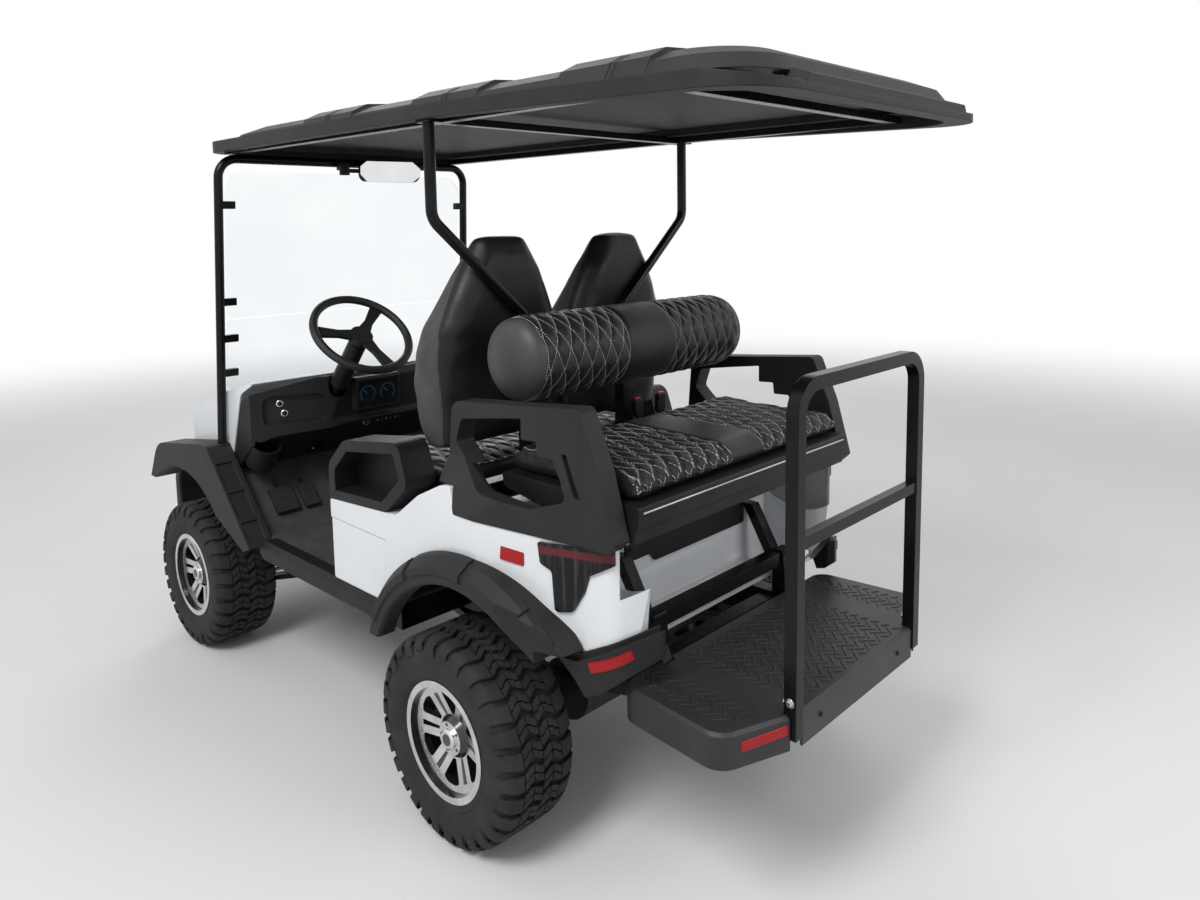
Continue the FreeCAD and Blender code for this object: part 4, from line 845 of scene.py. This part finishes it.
def rims():
    """The CAD rims keep their mesh: machined faces are bright, the rest black."""
    for name, where, y in WHEELS:
        rim = frame["nodes"]["rim_" + name]
        rim.data.materials.clear()
        rim.data.materials.append(MATERIALS["wheel_black"])
        rim.data.materials.append(MATERIALS["alloy"])
        side = 1 if y > 0 else -1
        for face in rim.data.polygons:
            across = side * (face.center.y - y)
            outward = face.normal.y * side
            if (outward > FLAT and across > FACE_FROM) or (outward > LIP_FLAT and across > LIP_FROM):
                face.material_index = 1
        smooth_by_angle(rim, 30)
        wheel_trim(name, where, y, side)


SPOKES = 6
# distance out from the wheel's middle of the spoke face at 60 mm, and its slope
SPOKE_FACE = (0.066, 0.2167)
# outline of an inlay along and aside, radius of its middle, and how far that is up the slope
INLAY = ((-0.032, -0.0045), (0.032, -0.0078), (0.032, 0.0078), (-0.032, 0.0045))
INLAY_RADIUS = 0.092
INLAY_RISE = 0.032
INLAY_LEVELS = ((-0.001, 1), (0.0007, 1), (0.0009, 0.97))
HUB_FACE = 0.082
NUTS = 5
NUT_CIRCLE = 0.0370
NUT_RADIUS = 0.0048
CAP_RADIUS = 0.029
CAP_LEVELS = ((HUB_FACE - 0.002, 1), (HUB_FACE + 0.007, 0.97), (HUB_FACE + 0.011, 0.8))
CAP_SIGN_RADIUS = 0.017


def wheel_trim(name, where, y, side):
    """Dark inlays that split the spokes, the centre cap and the recesses of the wheel nuts."""
    centre = Vector((ahead(where), y, AXLE_HEIGHT))
    out = Vector((0, side, 0))
    dark = []
    for number in range(1, SPOKES):
        angle = 2 * math.pi * number / SPOKES + (0 if side > 0 else math.pi)
        radial = Vector((math.cos(angle), 0, math.sin(angle)))
        along = (radial + out * SPOKE_FACE[1]).normalized()
        up = along.cross(out.cross(radial))
        place = centre + radial * INLAY_RADIUS + out * (SPOKE_FACE[0] + INLAY_RISE * SPOKE_FACE[1])
        dark.append(prism(INLAY, place, (along, up.cross(along), up), INLAY_LEVELS))
    axes = (UP, out.cross(UP), out)
    for number in range(NUTS):
        angle = 2 * math.pi * number / NUTS
        spot = centre + Vector((math.cos(angle), 0, math.sin(angle))) * NUT_CIRCLE
        dark.append(prism(round_outline(NUT_RADIUS, 12), spot, axes,
                          ((HUB_FACE - 0.001, 1), (HUB_FACE + 0.0008, 1))))
    cap = prism(round_outline(CAP_RADIUS, 32), centre, axes, CAP_LEVELS)
    dark.append(prism(round_outline(CAP_SIGN_RADIUS), centre, axes,
                      ((HUB_FACE + 0.010, 1), (HUB_FACE + 0.0122, 0.95))))
    joined("wheel_dark_" + name, dark, "wheel_black", "wheel_" + name)
    joined("wheel_cap_" + name, [cap], "alloy", "wheel_" + name)


# Trim: small pieces that sit on the solids
def axes_of(normal):
    """Two directions across a normal, and the normal."""
    out = Vector(normal).normalized()
    up = UP if abs(out.z) < 0.9 else Vector((1, 0, 0))
    aside = up.cross(out).normalized()
    return aside, out.cross(aside), out


def prism(outline, place, axes, levels):
    """Rings of an outline stacked along the last axis: each level is a height and a scale."""
    aside, up, out = axes
    count = len(outline)
    points = [Vector(place) + aside * (u * scale) + up * (v * scale) + out * height
              for height, scale in levels for u, v in outline]
    faces = bands(len(levels), count) + ends_of(len(levels), count)[::-1]
    return points, faces


def round_outline(radius, count=24):
    angles = [2 * math.pi * k / count for k in range(count)]
    return [(radius * math.cos(angle), radius * math.sin(angle)) for angle in angles]


def bar_outline(length, height, corner):
    """Rectangle with rounded corners, round the middle."""
    outline = []
    for sx, sy, first in ((1, 1, 0), (-1, 1, 90), (-1, -1, 180), (1, -1, 270)):
        for step in range(4):
            angle = math.radians(first + 30 * step)
            outline.append((sx * (length / 2 - corner) + corner * math.cos(angle),
                            sy * (height / 2 - corner) + corner * math.sin(angle)))
    return outline


def joined(name, parts, material, body="cart"):
    """One piece out of several sets of points and faces."""
    points, faces = [], []
    for some_points, some_faces in parts:
        base = len(points)
        points += list(some_points)
        faces += [tuple(base + k for k in face) for face in some_faces]
    mesh_object(name, points, faces, material, body, smooth=False)


def line_on(start, end, out):
    """A line's ends on a surface, and the axes along it, up and out."""
    start, end = (Vector((ahead(p[0]), p[1], p[2])) for p in (start, end))
    along = (end - start).normalized()
    out = Vector(out)
    out = (out - along * out.dot(along)).normalized()
    return start, end, (along, out.cross(along), out)


def bar(start, end, height, out, proud, corner, sunk=0.002):
    """Bevelled bar along a line of a surface; out is the side it shows on."""
    start, end, axes = line_on(start, end, out)
    levels = ((-sunk, 1), (proud * 0.6, 1), (proud, 1 - 0.0016 / height))
    return prism(bar_outline((end - start).length, height, corner), (start + end) / 2, axes, levels)


def mirrored(parts):
    """The same parts on the other side of the cart."""
    return [([Vector((p[0], -p[1], p[2])) for p in points], [face[::-1] for face in faces])
            for points, faces in parts]


# where a pressed bar has its points, along it and across it
ALONG_BAR = (0, 0.012, 0.04, 0.15, 0.3, 0.45, 0.6, 0.75, 0.87, 0.96, 0.988, 1)
ACROSS_BAR = (-0.5, -0.44, -0.25, 0, 0.25, 0.44, 0.5)
# how narrow its ends and the points next to them are, how far its rim is sunk, where rays start
END_PINCH, NEXT_PINCH = 0.86, 0.95
RIM_SUNK = 0.0015
CAST_FROM = 0.05


def pressed_bar(node, start, end, height, out, proud):
    """Bar that follows a curved solid between two points of its surface."""
    source = frame["nodes"][node].data
    tree = BVHTree.FromPolygons([v.co for v in source.vertices], [tuple(p.vertices) for p in source.polygons])
    start, end, (_, up, out) = line_on(start, end, out)
    points, faces = [], []
    for u in ALONG_BAR:
        pinch = END_PINCH if u in (0, 1) else NEXT_PINCH if u in (ALONG_BAR[1], ALONG_BAR[-2]) else 1
        for v in ACROSS_BAR:
            spot = start.lerp(end, u) + up * (v * height * pinch)
            hit = tree.ray_cast(spot + out * CAST_FROM, -out)[0]
            rim = u in (0, 1) or v in (ACROSS_BAR[0], ACROSS_BAR[-1])
            points.append((hit or spot) + out * (-RIM_SUNK if rim else proud))
    wide = len(ACROSS_BAR)
    for row in range(0, (len(ALONG_BAR) - 1) * wide, wide):
        for k in range(wide - 1):
            faces.append((row + k, row + wide + k, row + wide + k + 1, row + k + 1))
    return points, faces


def reflectors():
    """Red reflectors on the body's sides, the rear bumper's corners and the deck's corners."""
    left = [bar((-0.186, 0.5872, 0.8475), (-0.263, 0.5758, 0.8445), 0.034, (0.15, 0.98, 0.1), 0.0035, 0.003),
            pressed_bar("rear_bumper", (-0.4545, 0.5462, 0.616), (-0.5385, 0.4815, 0.654), 0.028,
                        (-0.6, 0.8, 0), 0.0035),
            bar((-0.8205, 0.4445, 0.520), (-0.8655, 0.3245, 0.5255), 0.025, (-0.93, 0.35, 0), 0.0022, 0.004,
                0.003)]
    joined("reflectors", left + mirrored(left), "red_lens")


def bolt(place, out, radius):
    """Washer with a hexagon head."""
    axes = axes_of(out)
    place = (ahead(place[0]), place[1], place[2])
    return [prism(round_outline(radius, 20), place, axes, ((-0.001, 1), (0.0012, 1), (0.0017, 0.94))),
            prism(round_outline(radius * 0.66, 6), place, axes,
                  ((0.001, 1), (radius * 0.55, 1), (radius * 0.66, 0.84)))]


def bolts():
    """Bright and dark bolts of the platform's hinge, the grab bar and the access panel."""
    bright, dark = [], []
    for side in (1, -1):
        bright += bolt((-0.849, side * 0.301, 0.578), (1, 0, 0), 0.013)
        bright += bolt((-0.865, side * 0.317, 0.585), (0, side, 0), 0.011)
        dark += bolt((-0.455, side * 0.324, 0.655), (0, side, 0), 0.011)
        dark += bolt((-0.460, side * 0.324, 0.585), (0, side, 0), 0.011)
        dark += bolt((-0.877, side * 0.20, 0.515), (-1, 0, 0), 0.007)
    for y, z in ((0.255, 0.795), (-0.262, 0.795), (-0.262, 0.748)):
        dark += bolt((-0.328, y, z), (-1, 0, 0), 0.007)
    joined("bolts_bright", bright, "bright_metal")
    joined("bolts_dark", dark, "black_metal")


# Foot platform: height of its deck, and half width of the deck at places ahead
DECK = 0.557
DECK_EDGE = ((-0.480, 0.470), (-0.800, 0.500), (-0.868, 0.318), (-0.877, 0.285))
DASH = ((0.0135, 0), (0.0105, 0.0028), (-0.0105, 0.0028), (-0.0135, 0), (-0.0105, -0.0028), (0.0105, -0.0028))
DASH_LEVELS = ((-0.0005, 1), (0.0014, 0.92), (0.0020, 0.7))
DASH_LEAN = 38
# rows of dashes: where the first is, how many, and the distances between rows and between dashes
FIRST_ROW, ROWS, ROW_STEP, DASH_STEP = -0.505, 24, 0.0155, 0.0315
COLUMNS = range(-30, 31)
# the field on each side starts here and leaves a border; the one in the middle ends here
SIDE_FIELD, BORDER = 0.348, 0.045
MIDDLE_FIELD = 0.262
MIDDLE_ENDS = (-0.860, -0.520)
LAST_DASH = -0.862
# the border of a row is measured this far behind it, where the deck is narrower
TAPER = 0.03


def deck_half(x):
    """Half width of the deck at a place along it."""
    return float(np.interp(-x, [-p[0] for p in DECK_EDGE], [p[1] for p in DECK_EDGE]))


def deck_tread():
    """Raised dashes that lean left and right in turn, in a field on each side and one in the middle."""
    parts = []
    for row in range(ROWS):
        x = FIRST_ROW - row * ROW_STEP
        for column in COLUMNS:
            y = column * DASH_STEP + (DASH_STEP / 2 if row % 2 else 0)
            in_side = SIDE_FIELD < abs(y) < deck_half(x - TAPER) - BORDER
            in_middle = abs(y) < MIDDLE_FIELD and MIDDLE_ENDS[0] < x < MIDDLE_ENDS[1]
            if not in_side and not in_middle or x < LAST_DASH:
                continue
            lean = math.radians(DASH_LEAN if (row + column) % 2 else -DASH_LEAN) + math.pi / 2
            along = Vector((math.cos(lean), math.sin(lean), 0))
            axes = (along, Vector((-along.y, along.x, 0)), UP)
            parts.append(prism(DASH, (ahead(x), y, DECK), axes, DASH_LEVELS))
    joined("deck_tread", parts, "deck_plastic")


# the strip's section, ahead and up, and its half length
SEAL = ((1.4275, 0.7485), (1.4335, 0.7435), (1.4375, 0.776), (1.4325, 0.776))
SEAL_HALF = 0.548


def toe_seal():
    """Rubber strip that closes the floor mat's front edge against the dash."""
    points = [(ahead(x), y, z) for y in (-SEAL_HALF, SEAL_HALF) for x, z in SEAL]
    joined("toe_seal", [(points, bands(2, 4) + ends_of(2, 4))], "rubber_pad")


def seat_line():
    """Bright line along the rear of the cushion's tray."""
    line = bar((-0.5638, 0.468, 1.000), (-0.5638, -0.468, 1.000), 0.0042, (-1, 0, 0), 0.0012, 0.0006)
    joined("seat_line", [line], "bright_metal", "rear_seat")


# Y and lean of each belt buckle, then the place of its foot ahead and up
BUCKLES = ((0.205, 0.10), (0.130, -0.10), (-0.130, 0.10), (-0.205, -0.10))
BUCKLE_FOOT = (-0.040, 0.909)


def buckles():
    """Belt buckles on stiff stalks, behind the rear cushion."""
    across, forward = Vector((0, -1, 0)), Vector((1, 0, 0))
    stalks, cases, buttons = [], [], []
    for y, lean in BUCKLES:
        foot = Vector((ahead(BUCKLE_FOOT[0]), y, BUCKLE_FOOT[1]))
        up = Vector((0.02, lean, 1)).normalized()
        axes = (across, forward, up)
        stalks.append(prism(bar_outline(0.026, 0.005, 0.002), foot, axes, ((0, 1), (0.160, 1))))
        cases.append(prism(bar_outline(0.036, 0.019, 0.005), foot + up * 0.150, axes,
                           ((0, 0.8), (0.006, 1), (0.054, 1.06), (0.058, 1.0))))
        buttons.append(prism(bar_outline(0.027, 0.012, 0.003), foot + up * 0.205, axes,
                             ((0, 1), (0.007, 1), (0.009, 0.9))))
        cases.append(prism(bar_outline(0.040, 0.030, 0.004), foot, (across, forward, UP),
                           ((0, 1), (0.008, 1), (0.012, 0.7))))
    joined("buckle_stalks", stalks, "webbing")
    joined("buckle_cases", cases, "black_plastic")
    joined("buckle_buttons", buttons, "red_button")


# Display: its middle ahead, across and up, and the lean of its face
DISPLAY = (1.1322, 0.1025, 1.030)
DISPLAY_OUT = (-1, 0, -0.074)
DIAL_SHIFT = 0.044
# marks of a dial, and its needle: turns, distance out, length and width, height
MARKS = (range(-40, 221, 13), 0.031, (0.007, 0.0016, 0.0004), 0.0004)
NEEDLE = ((140,), 0.012, (0.024, 0.0022, 0.0006), 0.0005)
# place and radius of the key switch and the two sockets
DASH_ROUNDS = ((1.1685, 0.137, 0.914, 0.015), (1.2545, 0.445, 1.022, 0.013), (1.2495, 0.431, 0.984, 0.013))
ROCKERS = (0.075, 0.035, -0.005)


def dial(centre, across, up, out):
    """Marks round a dial, and its needle."""
    parts = []
    for turns, distance, size, height in (MARKS, NEEDLE):
        for turn in turns:
            angle = math.radians(turn)
            spoke = across * math.cos(angle) + up * math.sin(angle)
            parts.append(prism(bar_outline(*size), centre + spoke * distance, (spoke, out.cross(spoke), out),
                               ((0, 1), (height, 1))))
    return parts


def dash_fittings():
    """Display glass with two dials, key switch, three rocker switches and two sockets."""
    out = Vector(DISPLAY_OUT).normalized()
    across = Vector((0, -1, 0))
    up = out.cross(across)
    middle = Vector((ahead(DISPLAY[0]), DISPLAY[1], DISPLAY[2]))
    glass = prism(bar_outline(0.168, 0.100, 0.008), middle, (across, up, out),
                  ((-0.001, 1), (0.0008, 1), (0.0012, 0.99)))
    joined("display_glass", [glass], "display")
    marks = []
    for shift in (-DIAL_SHIFT, DIAL_SHIFT):
        marks += dial(middle + across * shift + out * 0.0012, across, up, out)
    joined("display_marks", marks, "pale_mark")
    rings, centres = [], []
    for x, y, z, radius in DASH_ROUNDS:
        place = (ahead(x), y, z)
        aim = axes_of((-1, 0, 0) if y < 0.3 else (-0.93, 0.36, 0))
        rings.append(prism(round_outline(radius), place, aim, ((-0.003, 1), (0.004, 1), (0.005, 0.9))))
        centres.append(prism(round_outline(radius * 0.72), place, aim, ((0, 1), (0.0065, 1), (0.0072, 0.9))))
        centres.append(prism(bar_outline(0.004, radius * 1.1, 0.001), place, aim,
                             ((0.006, 1), (0.0125, 1), (0.0135, 0.8))))
    joined("dash_rings", rings, "bright_metal")
    joined("dash_centres", centres, "black_plastic")
    rockers = [prism(bar_outline(0.028, 0.018, 0.003), (ahead(1.1690), y, 0.914), axes_of((-1, 0, 0)),
                     ((-0.003, 1), (0.003, 1), (0.005, 0.85))) for y in ROCKERS]
    joined("dash_rockers", rockers, "wheel_black")


# ahead: the flat back of the mirror's housing, which is the glass
MIRROR_FACE = 1.343


def dress_nodes():
    """Every CAD node that stays in view gets its finish."""
    slots = {part["node"]: part["material_slot"] for part in frame["record"]["subparts"]}
    for name, obj in frame["nodes"].items():
        if name.startswith("rim_"):
            continue
        obj.data.materials.clear()
        obj.data.materials.append(MATERIALS["deck_plastic" if name == "foot_platform" else slots[name]])
        smooth_by_angle(obj, 30)
    mirror = frame["nodes"]["mirror"].data
    mirror.materials.append(MATERIALS["black_plastic"])
    for face in mirror.polygons:
        flat_back = face.normal.x < -0.95 and abs(face.center.x - ahead(MIRROR_FACE)) < 0.0015
        face.material_index = 0 if flat_back else 1


make_camera()
make_stage()
MATERIALS = build_materials()
dress_nodes()
rims()
tyres()
rear_cushion()
rear_roll()
front_cushion()
front_backs()
reflectors()
bolts()
deck_tread()
seat_line()
toe_seal()
buckles()
dash_fittings()
